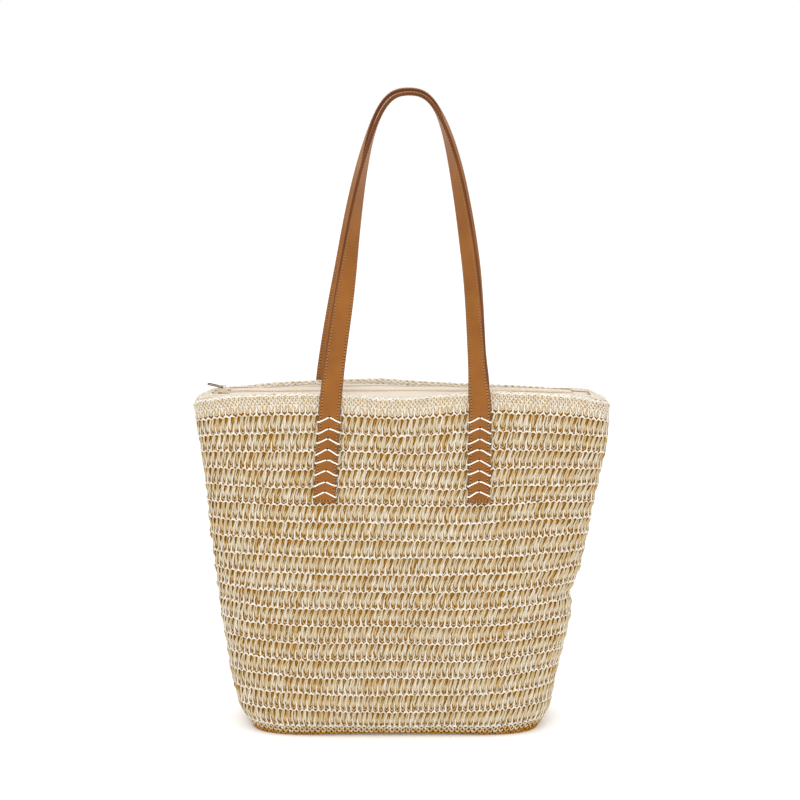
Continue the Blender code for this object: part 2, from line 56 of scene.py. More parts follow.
# The frame's own shape, in metres: height, half width, half depth and squareness of the wall's outline
WALL_STATIONS = (
    (0.004, 0.1520, 0.0640, 4.0),
    (0.020, 0.1580, 0.0660, 4.0),
    (0.060, 0.1675, 0.0660, 3.7),
    (0.120, 0.1780, 0.0640, 3.4),
    (0.180, 0.1865, 0.0610, 3.2),
    (0.240, 0.1955, 0.0570, 3.0),
    (0.300, 0.2045, 0.0525, 2.9),
    (0.344, 0.2090, 0.0500, 2.9),
)
AROUND = 720
LEVEL_STEP = 0.002
LEVELS = np.arange(0.0, 0.3521, LEVEL_STEP)
RIM_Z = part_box("rim_band")[1][2]
BAND_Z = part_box("rim_band")[0][2]
CLOTH_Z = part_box("mouth_facing_front")[1][2]

# Crochet
COLUMNS = 144
ROWS = 18
ROW_PITCH = 0.0175
END_RISE = 0.0050  # the lower rows climb round the ends of the bag
LIP = 0.0019  # radius of the rolled rim
RIM_RISE = 0.0004  # of the edge chain above the frame
LIP_Z = RIM_Z + RIM_RISE - LIP  # where the wall starts to roll over
FRONT_RIM = (  # along the bag in metres and rise in millimetres
    (-0.209, -4.0), (-0.200, -2.6), (-0.190, -1.0), (-0.175, 0.6), (-0.158, 1.7), (-0.122, 2.8),
    (-0.095, 2.7), (-0.080, 2.4), (-0.060, 1.4), (-0.040, 0.4), (-0.020, -1.2),
    (-0.005, -1.8), (0.010, -1.2), (0.026, 0.4),
    (0.045, 2.0), (0.062, 3.4), (0.075, 4.5), (0.087, 5.0), (0.100, 4.7), (0.115, 4.0), (0.143, 2.8),
    (0.165, 1.4), (0.180, -0.4), (0.190, -2.0), (0.200, -3.5), (0.209, -4.6),
)
BACK_RIM = (
    (-0.209, -3.0), (-0.200, -1.6), (-0.190, -1.0), (-0.173, -1.2), (-0.150, -1.4), (-0.128, -0.2),
    (-0.080, 0.8), (-0.045, 1.6), (-0.020, 2.1), (0.001, 0.8), (0.020, -0.6), (0.041, -1.8), (0.065, -3.0),
    (0.087, -3.7), (0.124, -3.9), (0.161, -4.4), (0.194, -4.6), (0.209, -5.0),
)
END_DROOP = 0.0105  # the ends of the mouth hang below its middle
END_SPREAD = 0.009  # the rim is folded flatter at the ends of the mouth
CLOTH_BELOW_RIM = 0.0026
CLOTH_DROOP = {-1: 0.55, 1: 0.85}  # share of END_DROOP that the mouth's cloth takes at its left and right
BASE_ROUND = 0.005  # the bottom corners are drawn in
BASE_LIFT = 0.0022  # the middle of the front edge stands off the floor
TUCK = 0.0050  # radius of the bottom edge
TUCK_Z = TUCK  # where the wall starts to roll under
BULGE, SMALL_BULGE = 0.0013, 0.0006  # uneven waves of the wall
ROW_PUFF, STITCH_PUFF = 0.0009, 0.0006  # each row stands out between its lines
DENTS = (  # hollows in the right side: depth, height, half height, start along X, fade
    (0.0052, 0.143, 0.015, 0.14, 0.04),
    (0.0026, 0.058, 0.034, 0.11, 0.05),
)
FIBRE_SHIFT = 0.37  # metres of fibre pattern from one strand to the next
LEAN = (  # sideways drift of the soft wall at heights
    (0.010, -0.0056), (0.060, -0.0060), (0.120, -0.0046), (0.180, -0.0024), (0.240, -0.0008),
    (0.300, 0.0020), (0.344, 0.0004),
)


# Noise and curves


def ripple(u, z, seed, waves=7, most_around=7, cycles=9.0):
    """A smooth field about one high, which repeats once round the bag."""
    rng = np.random.default_rng(seed)
    total = 0.0
    for _ in range(waves):
        around = int(rng.integers(1, most_around + 1))
        up = rng.uniform(-cycles, cycles)
        total = total + rng.uniform(0.5, 1.0) * np.sin(2 * math.pi * (around * u + up * z + rng.uniform()))
    return total / math.sqrt(waves)


def smoothstep(value):
    value = np.clip(value, 0.0, 1.0)
    return value * value * (3 - 2 * value)


def spline_weights(count, stations):
    """Weights that turn control points into a smooth run of stations through them."""
    t = np.linspace(0, count - 1, stations)
    low = np.minimum(t.astype(int), count - 2)
    f = t - low
    weights = np.zeros((stations, count))
    rows = np.arange(stations)
    parts = (
        -0.5 * f**3 + f**2 - 0.5 * f,
        1.5 * f**3 - 2.5 * f**2 + 1,
        -1.5 * f**3 + 2 * f**2 + 0.5 * f,
        0.5 * f**3 - 0.5 * f**2,
    )
    for shift, part in zip((-1, 0, 1, 2), parts):
        np.add.at(weights, (rows, np.clip(low + shift, 0, count - 1)), part)
    return weights


def unit(v):
    return v / np.maximum(np.linalg.norm(v, axis=-1, keepdims=True), 1e-12)


def distances(points):
    """Distance from the start to each point of a run."""
    steps = np.linalg.norm(np.diff(points, axis=-2), axis=-1)
    return np.concatenate((np.zeros_like(steps[..., :1]), np.cumsum(steps, axis=-1)), axis=-1)


def resample(at, along, table):
    """A run's vectors at other places along it."""
    return np.stack([np.interp(at, along, table[:, k]) for k in range(3)], axis=-1)


# The wall as a surface: around from 0 to 1, up in metres, out from the surface


def oval(half_width, half_depth, power, count):
    t = np.linspace(0, 2 * math.pi, 1441)
    c, s = np.cos(t), np.sin(t)
    x = half_width * np.sign(c) * np.abs(c) ** (2 / power)
    y = half_depth * np.sign(s) * np.abs(s) ** (2 / power)
    along = np.concatenate(([0.0], np.cumsum(np.hypot(np.diff(x), np.diff(y)))))
    at = np.linspace(0, along[-1], count, endpoint=False)
    return np.interp(at, along, x), np.interp(at, along, y)


def wall_station(z):
    table = np.array(WALL_STATIONS)
    return [np.interp(z, table[:, 0], table[:, k]) for k in (1, 2, 3)]


def make_outlines():
    kernel = np.hanning(13)[1:-1]
    kernel /= kernel.sum()
    a, b, p = (np.convolve(np.pad(k, 5, mode="edge"), kernel, mode="valid") for k in wall_station(LEVELS))
    table = np.zeros((len(LEVELS), AROUND, 4))
    for i in range(len(LEVELS)):
        x, y = oval(a[i], b[i], p[i], AROUND)
        nx = np.sign(x) * np.abs(x / a[i]) ** (p[i] - 1) / a[i]
        ny = np.sign(y) * np.abs(y / b[i]) ** (p[i] - 1) / b[i]
        size = np.hypot(nx, ny)
        table[i] = np.stack((x, y, nx / size, ny / size), axis=1)
    return table


OUTLINES = make_outlines()


def outline(u, z):
    a = (u % 1.0) * AROUND
    i = a.astype(int) % AROUND
    f = (a - np.floor(a))[..., None]
    j = (i + 1) % AROUND
    b = np.clip(z / LEVEL_STEP, 0, len(LEVELS) - 1.001)
    k = b.astype(int)
    g = (b - k)[..., None]
    low = OUTLINES[k, i] * (1 - f) + OUTLINES[k, j] * f
    high = OUTLINES[k + 1, i] * (1 - f) + OUTLINES[k + 1, j] * f
    return np.moveaxis(low * (1 - g) + high * g, -1, 0)


def strap_cover(x, z):
    """One under the sewn strap ends, where the wall keeps to the frame."""
    near = np.exp(-(((np.abs(x) - 0.078) / 0.026) ** 2))
    return near * smoothstep((z - 0.20) / 0.04)


def back_share(y):
    """Nought on the front half of the bag and one on the back half."""
    return smoothstep(0.5 + y / 0.03)


def rim_rise(x, back):
    """How far the rim stands above its mean height, along the front or the back."""
    rises = [np.interp(x, *np.array(line).T) * MM for line in (FRONT_RIM, BACK_RIM)]
    return rises[0] * (1 - back) + rises[1] * back


def end_droop(y, z):
    """How far the two ends of the mouth hang below its middle."""
    half_depth = wall_station(z)[1]
    return END_DROOP * (1 - np.clip(np.abs(y) / half_depth, 0, 1)) * z / RIM_Z


def mouth_shift(x, y):
    """How far the cloth across the mouth lies above its place in the frame: it hangs at the ends like
    the rim, and beside the rim it follows the rim's rise from a little lower."""
    a, b, p = wall_station(CLOTH_Z)
    ends = END_DROOP * (1 - np.maximum(1 - np.abs(x / a) ** p, 0.0) ** (1 / p))
    at_tip = 0.55 * smoothstep((np.abs(x) - 0.187) / 0.014)
    ends = ends * (np.where(x < 0, CLOTH_DROOP[-1], CLOTH_DROOP[1]) + at_tip)
    beside = smoothstep((np.abs(y) - 0.020) / 0.026)
    corner = 0.0030 * smoothstep((np.abs(x) - 0.172) / 0.02)
    return beside * (rim_rise(x, back_share(y)) - CLOTH_BELOW_RIM - corner) - ends


def wall_point(u, v, h):
    """Points and outward directions on the soft wall. Above LIP_Z the surface rolls over the rim, and
    below TUCK_Z it rolls under the base."""
    z = np.clip(v, TUCK_Z, LIP_Z)
    x, y, nx, ny = outline(u, z)
    over = np.maximum(v - LIP_Z, 0) / LIP
    under = np.maximum(TUCK_Z - v, 0) / TUCK
    turn = np.minimum(over, math.pi)
    tuck = np.minimum(under, math.pi / 2)
    is_over = over > 0
    is_under = under > 0
    down = (over - turn) * LIP
    inwards = (under - tuck) * TUCK
    spread = END_SPREAD * smoothstep((np.abs(x) - 0.158) / 0.038) * smoothstep(over / (2 * math.pi))
    radial = np.where(is_over, (LIP + h) * np.cos(turn) - LIP - spread, h)
    radial = np.where(is_under, (TUCK + h) * np.cos(tuck) - TUCK - inwards, radial)
    rise = np.where(is_over, (LIP + h) * np.sin(turn) - down, 0.0)
    rise = np.where(is_under, -(TUCK + h) * np.sin(tuck), rise)
    free = 1 - strap_cover(x, z)
    back = back_share(y)
    height = z / RIM_Z
    bulge = free * (BULGE * ripple(u, z, 5, 8, 5, 5.0) + SMALL_BULGE * ripple(u, z, 6, 8, 14, 12.0))
    puff = ROW_PUFF * np.cos(2 * math.pi * (z - BAND_Z) / ROW_PITCH)
    puff = puff + STITCH_PUFF * ripple(u, z, 7, 9, 70, 90.0)
    bulge = bulge + free * puff
    dent = sum(
        -depth * np.exp(-(((z - middle) / half) ** 2)) * smoothstep((x - start) / fade)
        for depth, middle, half, start, fade in DENTS
    )
    lift = BASE_LIFT * smoothstep(1 - z / 0.030) * np.exp(-((x / 0.085) ** 4)) * (1 - back)
    radial = radial + bulge * np.sin(math.pi * np.clip(height, 0.08, 0.92)) + dent - 0.8 * lift
    corner = BASE_ROUND * smoothstep(1 - v / 0.025) * smoothstep((np.abs(x) - 0.080) / 0.07)
    radial = radial - corner * np.abs(nx)
    sag = end_droop(y, z) - rim_rise(x, back) * smoothstep((z - 0.25) / 0.09)
    lean = np.array(LEAN)
    point = np.stack(
        (
            x + nx * radial + np.interp(z, lean[:, 0], lean[:, 1]) * free,
            y + ny * radial,
            z + rise - sag + lift,
        ),
        axis=-1,
    )
    cos = np.where(is_over, np.cos(turn), np.cos(tuck))
    sin = np.where(is_over, np.sin(turn), -np.sin(tuck))
    return point, np.stack((nx * cos, ny * cos, sin), axis=-1)


# Meshes from arrays


def sweep(centre, normal, wide, thick, sides, tone, ridge=0.0):
    """Tubes along runs of points (run, station, xyz), flattened against the given normals."""
    along = unit(np.gradient(centre, axis=1))
    side = unit(np.cross(along, normal))
    up = np.cross(side, along)
    angle = 2 * math.pi * np.arange(sides) / sides
    across = np.cos(angle)
    rise = np.sin(angle)
    ridges = ridge * np.where(rise > 0.2, (-1.0) ** np.arange(sides), 0.0)
    ring = (
        centre[:, :, None, :]
        + side[:, :, None, :] * (wide[:, :, None] * across)[..., None]
        + up[:, :, None, :] * (thick[:, :, None] * (rise + ridges))[..., None]
    )
    runs, stations = centre.shape[:2]
    distance = distances(centre) + np.arange(runs)[:, None] * FIBRE_SHIFT
    shape = (runs, stations, sides)
    data = np.stack(
        (
            np.broadcast_to(distance[:, :, None], shape),
            np.broadcast_to(across, shape),
            np.broadcast_to(tone[:, :, None], shape),
        ),
        axis=-1,
    )
    index = np.arange(runs * stations * sides).reshape(shape)
    after = np.roll(index, -1, axis=2)
    quads = np.stack((index[:, :-1], after[:, :-1], after[:, 1:], index[:, 1:]), axis=-1).reshape(-1, 4)
    caps = np.concatenate((index[:, 0, ::-1], index[:, -1]))
    return ring.reshape(-1, 3), data.reshape(-1, 3), quads, caps


def tube_faces(stations, count):
    """Side faces and the two caps of a tube of rings."""
    index = np.arange(stations * count).reshape(stations, count)
    after = np.roll(index, -1, axis=1)
    quads = np.stack((index[:-1], after[:-1], after[1:], index[1:]), axis=-1).reshape(-1, 4)
    return quads, np.stack((index[0, ::-1], index[-1]))


def grid(points, data, close_u=False, close_v=False):
    """A surface through rows of points."""
    rows, columns = points.shape[:2]
    index = np.arange(rows * columns).reshape(rows, columns)
    if close_u:
        index = np.concatenate((index, index[:, :1]), axis=1)
    if close_v:
        index = np.concatenate((index, index[:1]), axis=0)
    quads = np.stack((index[:-1, :-1], index[:-1, 1:], index[1:, 1:], index[1:, :-1]), axis=-1).reshape(-1, 4)
    return points.reshape(-1, 3), data.reshape(-1, 3), quads, np.zeros((0, 3), int)


def piece(name, parts, materials, body=None, nodes=(), ends=None, pick=None, smooth=True):
    """One visible piece made of arrays. Given ends, it is baked in place instead of being attached to body.
    """
    verts, data, faces, offset = [], [], [], 0
    for points, values, quads, caps in parts:
        verts.append(points)
        data.append(values)
        faces.extend(k + offset for k in (quads, caps) if len(k))
        offset += len(points)
    verts, data = np.concatenate(verts), np.concatenate(data)
    corners = np.concatenate([f.ravel() for f in faces])
    sizes = np.concatenate([np.full(len(f), f.shape[1]) for f in faces])
    mesh = bpy.data.meshes.new(name)
    mesh.vertices.add(len(verts))
    mesh.vertices.foreach_set("co", verts.astype(np.float32).ravel())
    mesh.loops.add(len(corners))
    mesh.loops.foreach_set("vertex_index", corners.astype(np.int32))
    mesh.polygons.add(len(sizes))
    starts = np.concatenate(([0], np.cumsum(sizes)[:-1]))
    mesh.polygons.foreach_set("loop_start", starts.astype(np.int32))
    strand = mesh.attributes.new("strand", "FLOAT_VECTOR", "POINT")
    strand.data.foreach_set("vector", data.astype(np.float32).ravel())
    mesh.update(calc_edges=True)
    mesh.validate()
    if smooth:
        mesh.shade_smooth()
    for material in materials:
        mesh.materials.append(material)
    obj = bpy.data.objects.new(name, mesh)
    bpy.context.scene.collection.objects.link(obj)
    if pick is not None:
        mesh.polygons.foreach_set("material_index", pick(mesh).astype(np.int32))
    if ends:
        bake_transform(obj)
    else:
        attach(obj, body or "bag")
    if nodes:
        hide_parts(*nodes)
    return obj


# Materials


class Nodes:
    """A short way to build one material's nodes."""

    def __init__(self, name, roughness, metallic=0.0, specular=0.5):
        self.material = bpy.data.materials.new(name)
        self.material.use_nodes = True
        self.tree = self.material.node_tree
        self.shader = self.tree.nodes["Principled BSDF"]
        self.shader.inputs["Roughness"].default_value = roughness
        self.shader.inputs["Metallic"].default_value = metallic
        self.shader.inputs["Specular IOR Level"].default_value = specular

    def add(self, kind, settings=None, **inputs):
        node = self.tree.nodes.new(kind)
        for key, value in (settings or {}).items():
            setattr(node, key, value)
        for key, value in inputs.items():
            socket = node.inputs[int(key[1:]) if key[0] == "_" else key.replace("_", " ")]
            if isinstance(value, bpy.types.NodeSocket):
                self.tree.links.new(value, socket)
            else:
                socket.default_value = value
        return node

    def math(self, operation, a, b=0.0, clamp=False):
        return self.add("ShaderNodeMath", {"operation": operation, "use_clamp": clamp}, _0=a, _1=b).outputs[0]

    def noise(self, vector, scale, detail=2.0, roughness=0.5):
        values = {"Vector": vector, "Scale": scale, "Detail": detail, "Roughness": roughness}
        return self.add("ShaderNodeTexNoise", None, **values).outputs["Fac"]

    def ramp(self, factor, stops):
        node = self.add("ShaderNodeValToRGB", None, Fac=factor)
        elements = node.color_ramp.elements
        while len(elements) < len(stops):
            elements.new(0.5)
        for element, (place, colour) in zip(elements, stops):
            element.position = place
            element.color = (*colour, 1.0)
        return node.outputs["Color"]

    def mix(self, factor, a, b):
        node = self.add("ShaderNodeMix", {"data_type": "RGBA"})
        for index, value in ((0, factor), (6, a), (7, b)):
            if isinstance(value, bpy.types.NodeSocket):
                self.tree.links.new(value, node.inputs[index])
            elif index:
                node.inputs[index].default_value = (*value, 1.0)
            else:
                node.inputs[index].default_value = value
        return node.outputs[2]

    def bump(self, height, distance, strength):
        node = self.add("ShaderNodeBump", None, Height=height, Distance=distance, Strength=strength)
        self.tree.links.new(node.outputs["Normal"], self.shader.inputs["Normal"])

    def set(self, name, socket):
        self.tree.links.new(socket, self.shader.inputs[name])

    def place(self):
        return self.add("ShaderNodeTexCoord").outputs["Object"]

    def strand(self):
        """Distance along a strand, place across it and tone."""
        vector = self.add("ShaderNodeAttribute", {"attribute_name": "strand"}).outputs["Vector"]
        parts = self.add("ShaderNodeSeparateXYZ", None, Vector=vector)
        return [parts.outputs[k] for k in range(3)]

    def vector(self, x, y, z):
        return self.add("ShaderNodeCombineXYZ", None, X=x, Y=y, Z=z).outputs[0]


def straw_material(name, stops, grey):
    m = Nodes(name, 0.62, specular=0.12)
    along, across, tone = m.strand()
    fibre_place = m.vector(m.math("MULTIPLY", along, 160.0), m.math("MULTIPLY", across, 3.4), tone)
    fibre = m.noise(fibre_place, 1.0, 3.0, 0.6)
    patch = m.noise(m.place(), 26.0, 2.0)
    speck = m.noise(m.place(), 420.0, 2.0)
    # each strand is darker towards its two edges across it: painted shade where it curves away into the gaps
    edge = m.math("MULTIPLY", m.math("MULTIPLY", across, across), 0.30)
    shade = m.math("SUBTRACT", m.math("ADD", tone, 0.06), edge)
    shade = m.math("ADD", shade, m.math("MULTIPLY", m.math("SUBTRACT", fibre, 0.5), 1.00))
    shade = m.math("ADD", shade, m.math("MULTIPLY", m.math("SUBTRACT", speck, 0.5), 0.30))
    shade = m.math("ADD", shade, m.math("MULTIPLY", m.math("SUBTRACT", patch, 0.5), 0.25), clamp=True)
    colour = m.ramp(shade, stops)
    # grey is mixed in by patches, more where the lightness value is high
    grey_mix = m.math("MULTIPLY", m.math("MULTIPLY", patch, grey), shade)
    m.set("Base Color", m.mix(grey_mix, colour, (0.60, 0.55, 0.46)))
    m.set("Roughness", m.math("ADD", m.math("MULTIPLY", fibre, 0.30), 0.45))
    m.bump(m.math("ADD", fibre, m.math("MULTIPLY", speck, 0.4)), 0.00035, 0.8)
    return m.material


def cloth_material(name, light, dark, threads):
    m = Nodes(name, 0.85, specular=0.2)
    m.shader.inputs["Sheen Weight"].default_value = 0.15
    place = m.add("ShaderNodeSeparateXYZ", None, Vector=m.place())
    x = m.math("SINE", m.math("MULTIPLY", place.outputs[0], threads))
    y = m.math("SINE", m.math("MULTIPLY", m.math("ADD", place.outputs[1], place.outputs[2]), threads))
    weave = m.math("MULTIPLY", x, y)
    drawn_out = m.add("ShaderNodeMapping", None, Vector=m.place(), Scale=(30, 600, 300))
    slub = m.noise(drawn_out.outputs[0], 1.0, 2.0)
    patch = m.noise(m.place(), 14.0, 3.0)
    shade = m.math("ADD", m.math("MULTIPLY", weave, 0.10), m.math("MULTIPLY", slub, 0.6))
    shade = m.math("ADD", shade, m.math("MULTIPLY", patch, 0.4), clamp=True)
    m.set("Base Color", m.ramp(shade, ((0.2, dark), (0.8, light))))
    m.set("Roughness", m.math("ADD", m.math("MULTIPLY", slub, 0.15), 0.78))
    m.bump(m.math("ADD", m.math("MULTIPLY", weave, 0.4), slub), 0.00015, 0.6)
    return m.material


def leather_material(name, light, dark, gloss, grain=0.00006):
    m = Nodes(name, gloss, specular=0.22)
    cells = m.add("ShaderNodeTexVoronoi", {"feature": "F1"}, Vector=m.place(), Scale=1500.0)
    pores = m.noise(m.place(), 700.0, 3.0)
    cloud = m.noise(m.place(), 38.0, 4.0, 0.6)
    shade = m.math("ADD", m.math("MULTIPLY", cloud, 0.9), m.math("MULTIPLY", pores, 0.25))
    shade = m.math("SUBTRACT", shade, 0.08, clamp=True)
    m.set("Base Color", m.ramp(shade, ((0.25, dark), (0.75, light))))
    m.set("Roughness", m.math("ADD", m.math("MULTIPLY", pores, 0.20), gloss - 0.10))
    m.bump(m.math("ADD", cells.outputs["Distance"], m.math("MULTIPLY", pores, 0.8)), grain, 0.7)
    return m.material


def thread_material(name, light, dark):
    m = Nodes(name, 0.7, specular=0.3)
    along, across, tone = m.strand()
    fibre_place = m.vector(m.math("MULTIPLY", along, 900.0), m.math("MULTIPLY", across, 3.0), 0.0)
    fibre = m.noise(fibre_place, 1.0, 3.0)
    shade = m.math("MULTIPLY", tone, m.math("ADD", m.math("MULTIPLY", fibre, 0.5), 0.72), clamp=True)
    bright = tuple(min(c * 1.08, 0.95) for c in light)
    m.set("Base Color", m.ramp(shade, ((0.05, dark), (0.45, light), (1.0, bright))))
    m.set("Roughness", m.math("ADD", m.math("MULTIPLY", fibre, 0.2), 0.6))
    m.bump(fibre, 0.0001, 0.8)
    return m.material


def metal_material(name, metallic, light, dark):
    m = Nodes(name, 0.35, metallic=metallic)
    wear = m.noise(m.place(), 300.0, 4.0)
    m.set("Base Color", m.ramp(wear, ((0.3, dark), (0.75, light))))
    m.set("Roughness", m.math("ADD", m.math("MULTIPLY", wear, 0.3), 0.22))
    m.bump(wear, 0.00003, 0.5)
    return m.material


STRAW = straw_material(
    "paper_straw",
    (
        (0.00, (0.400, 0.170, 0.006)),
        (0.20, (0.470, 0.245, 0.024)),
        (0.42, (0.520, 0.380, 0.190)),
        (0.70, (0.620, 0.530, 0.378)),
        (1.00, (0.820, 0.760, 0.660)),
    ),
    0.20,
)
RIM_STRAW = straw_material(
    "pale_paper_straw",
    (
        (0.00, (0.600, 0.420, 0.180)),
        (0.22, (0.660, 0.560, 0.390)),
        (0.42, (0.680, 0.590, 0.460)),
        (0.75, (0.760, 0.700, 0.600)),
        (1.00, (0.880, 0.840, 0.760)),
    ),
    0.30,
)
LINING = cloth_material("lining_cotton", (0.78, 0.70, 0.60), (0.66, 0.56, 0.44), 9000.0)
# the tape's dark brown is painted shade: the dark line of the gap between the zip panels
TAPE_PAINTED_SHADE = cloth_material("zip_tape_painted_shade", (0.50, 0.29, 0.12), (0.34, 0.18, 0.06), 6500.0)
LEATHER = leather_material("tan_leather", (0.315, 0.114, 0.016), (0.225, 0.074, 0.008), 0.46)
LEATHER_INNER = leather_material("tan_leather_inside", (0.320, 0.120, 0.024), (0.250, 0.088, 0.014), 0.54)
EDGE = leather_material("painted_leather_edge", (0.150, 0.042, 0.008), (0.090, 0.024, 0.004), 0.40, 0.00003)
CHEVRON = thread_material("cream_waxed_thread", (0.90, 0.85, 0.76), (0.030, 0.020, 0.016))
SEAM = thread_material("tan_sewing_thread", (0.500, 0.255, 0.095), (0.030, 0.009, 0.003))
COTTON = thread_material("cotton_sewing_thread", (0.88, 0.80, 0.68), (0.50, 0.36, 0.22))
COIL = thread_material("nylon_zip_coil", (0.80, 0.68, 0.50), (0.30, 0.20, 0.10))
METAL = metal_material("bronze_zip_metal", 0.9, (0.190, 0.115, 0.060), (0.050, 0.028, 0.016))
PAINT = metal_material("painted_zip_metal", 0.0, (0.740, 0.630, 0.480), (0.620, 0.500, 0.350))


# Crochet


def row_line(row, u):
    """Height of the scalloped line at the top of a row."""
    base = BAND_Z - row * ROW_PITCH
    wave = 0.0011 * ripple(u, base, 21, 8, 6, 7.0) + 0.0005 * ripple(u, row * 7.3, 22, 8, 22, 1.0)
    ends = END_RISE * np.cos(2 * math.pi * u) ** 4 * min(1.0, row / 10)
    return base + wave * min(1.0, 0.35 + row * 0.15) + ends


def column_drift(u, z):
    return 0.35 * ripple(u, z, 31, 8, 5, 8.0) + 0.12 * ripple(u, z, 32, 8, 23, 20.0)


def row_keys(keys, row, rng, top, below, columns=COLUMNS, shake=0.24 * MM, stagger=0.0):
    """Control points of one strand for each stitch of a row. keys are in columns across, and in
    millimetres up, out, half width and half thickness; the row's lines stretch its heights."""
    keys = np.array(keys, float)
    count = len(keys)
    x = np.arange(columns)[:, None] + stagger + keys[:, 0]
    x = x + rng.normal(0, 0.050, (columns, 1)) + rng.normal(0, 0.030, (columns, count))
    u = x / columns
    z_middle = (top(0.0) + below(0.0)) / 2
    u = u + column_drift(u, z_middle) / COLUMNS
    share = keys[:, 1] * MM
    line = top(u)
    stretch = (line - below(u)) / (top(0.0) - below(0.0))
    v = line + share * stretch + rng.normal(0, shake, (columns, count))
    h = keys[:, 2] * MM + rng.normal(0, 0.14 * MM, (columns, 1)) + rng.normal(0, 0.10 * MM, (columns, count))
    fat = rng.normal(1.0, 0.11, (columns, 1))
    return np.stack((u, v, h, keys[:, 3] * MM * fat, keys[:, 4] * MM * np.sqrt(np.abs(fat))), axis=-1)


def strands(keys, stations, sides, tone, rng, ridge=0.0):
    """Sweeps along control points on the wall. tone is one value or one for each control point."""
    weights = spline_weights(keys.shape[1], stations)
    path = np.einsum("sk,nkc->nsc", weights, keys)
    centre, normal = wall_point(path[..., 0], path[..., 1], path[..., 2])
    tones = np.broadcast_to(np.asarray(tone, float), (keys.shape[1],))
    shade = (weights @ tones)[None, :] + rng.normal(0, 0.11, (len(keys), 1))
    return sweep(centre, normal, path[..., 3], path[..., 4], sides, shade, ridge)


# across in columns, up mm, out mm, half width mm, half thickness mm
ARC = (
    (-0.55, -2.7, -0.20, 0.42, 0.36),
    (-0.36, -1.5, 0.45, 0.76, 0.60),
    (0.00, 0.1, 0.90, 1.02, 0.72),
    (0.36, -1.4, 0.45, 0.76, 0.60),
    (0.55, -2.6, -0.20, 0.42, 0.36),
)
POST = (
    (0.08, -6.3, -0.20, 0.26, 0.24),
    (0.05, -8.8, 0.60, 0.50, 0.46),
    (0.01, -12.2, 0.95, 0.66, 0.60),
    (0.00, -15.2, 0.98, 0.74, 0.60),
    (0.00, -17.4, 0.75, 0.92, 0.42),
)
RIBBON_LEFT = (
    (0.45, -1.3, -0.40, 0.80, 0.40),
    (0.33, -3.6, 0.15, 1.05, 0.56),
    (0.16, -6.8, 0.35, 1.05, 0.62),
    (0.00, -9.6, 0.15, 1.30, 0.60),
    (-0.22, -12.0, 0.00, 1.10, 0.52),
    (-0.42, -14.2, -0.45, 0.42, 0.30),
)
RIBBON_RIGHT = (
    (0.62, -1.3, -0.40, 0.80, 0.40),
    (0.60, -3.6, 0.25, 1.02, 0.56),
    (0.46, -6.8, 0.45, 1.10, 0.62),
    (0.36, -9.6, 0.25, 1.45, 0.60),
    (0.38, -12.0, 0.05, 1.15, 0.52),
    (0.47, -14.3, -0.40, 0.42, 0.30),
)
FILL = (
    (0.84, -5.6, -0.90, 0.40, 0.35),
    (0.70, -8.2, -0.20, 0.70, 0.50),
    (0.58, -10.8, 0.15, 0.80, 0.50),
    (0.52, -13.2, -0.30, 0.45, 0.35),
)
CUP = (
    (0.13, -11.2, -0.50, 0.36, 0.32),
    (0.17, -13.6, 0.10, 0.42, 0.40),
    (0.29, -15.8, 0.30, 0.46, 0.42),
    (0.50, -16.9, 0.30, 0.50, 0.42),
    (0.71, -15.8, 0.30, 0.46, 0.42),
    (0.83, -13.6, 0.10, 0.42, 0.40),
    (0.87, -11.2, -0.50, 0.36, 0.32),
)
INNER = (
    (0.02, -2.4, -1.55, 0.55, 0.40),
    (-0.14, -6.4, -1.35, 0.75, 0.45),
    (-0.36, -11.0, -1.50, 0.60, 0.40),
)


# control points, stations, sides, tone at each control point, height of the ridges along it; the tones are a
# painted highlight where a strand stands out, painted shade where it dips in, and low painted shade for the
# INNER strands deep in the stitch
STITCH = (
    (ARC, 11, 8, (0.62, 0.86, 0.98, 0.86, 0.62), 0.0),
    (RIBBON_LEFT, 11, 10, (0.40, 0.52, 0.56, 0.52, 0.50, 0.42), 0.22),
    (RIBBON_RIGHT, 11, 10, (0.40, 0.54, 0.60, 0.58, 0.52, 0.42), 0.22),
    (FILL, 8, 8, (0.42, 0.56, 0.60, 0.48), 0.20),
    (POST, 10, 8, (0.60, 0.86, 0.98, 1.00, 1.00), 0.0),
    (CUP, 12, 6, (0.40, 0.52, 0.60, 0.62, 0.60, 0.52, 0.40), 0.0),
    (INNER, 6, 6, 0.20, 0.0),
)


def build_rows():
    for row in range(ROWS):
        rng = np.random.default_rng(100 + row)
        lines = [functools.partial(row_line, row), functools.partial(row_line, row + 1)]
        parts = [
            strands(row_keys(keys, row, rng, *lines), stations, sides, tone, rng, ridge)
            for keys, stations, sides, tone, ridge in STITCH
        ]
        nodes = ("straw_body",) if row == 0 else ()
        piece(f"crochet_row_{row + 1:02d}", parts, [STRAW], nodes=nodes)


def build_backing():
    """The inner side of the crochet, seen through its holes, coloured a dark golden brown that is painted
    shade and warm bounced light in the holes.
    """
    u = np.linspace(0, 1, 480, endpoint=False)
    v = np.linspace(-0.0040, BAND_Z + 0.002, 170)
    uu, vv = np.meshgrid(u, v)
    rough = ripple(uu, vv, 41, 10, 150, 260.0) * 0.22 * MM
    face, _ = wall_point(uu, vv, -1.45 * MM + rough)
    rear, _ = wall_point(uu, vv, np.full_like(uu, -3.0 * MM))
    points = np.concatenate((face, rear[::-1]))
    # low tone: painted shade in the holes of the crochet
    tone = 0.06 + 0.05 * ripple(uu, vv, 42, 10, 120, 200.0)
    data = np.stack((uu * 0.86, vv * 300, tone), axis=-1)
    part = grid(points, np.concatenate((data, data[::-1])), close_u=True, close_v=True)
    piece("crochet_inner_side", [part], [STRAW])


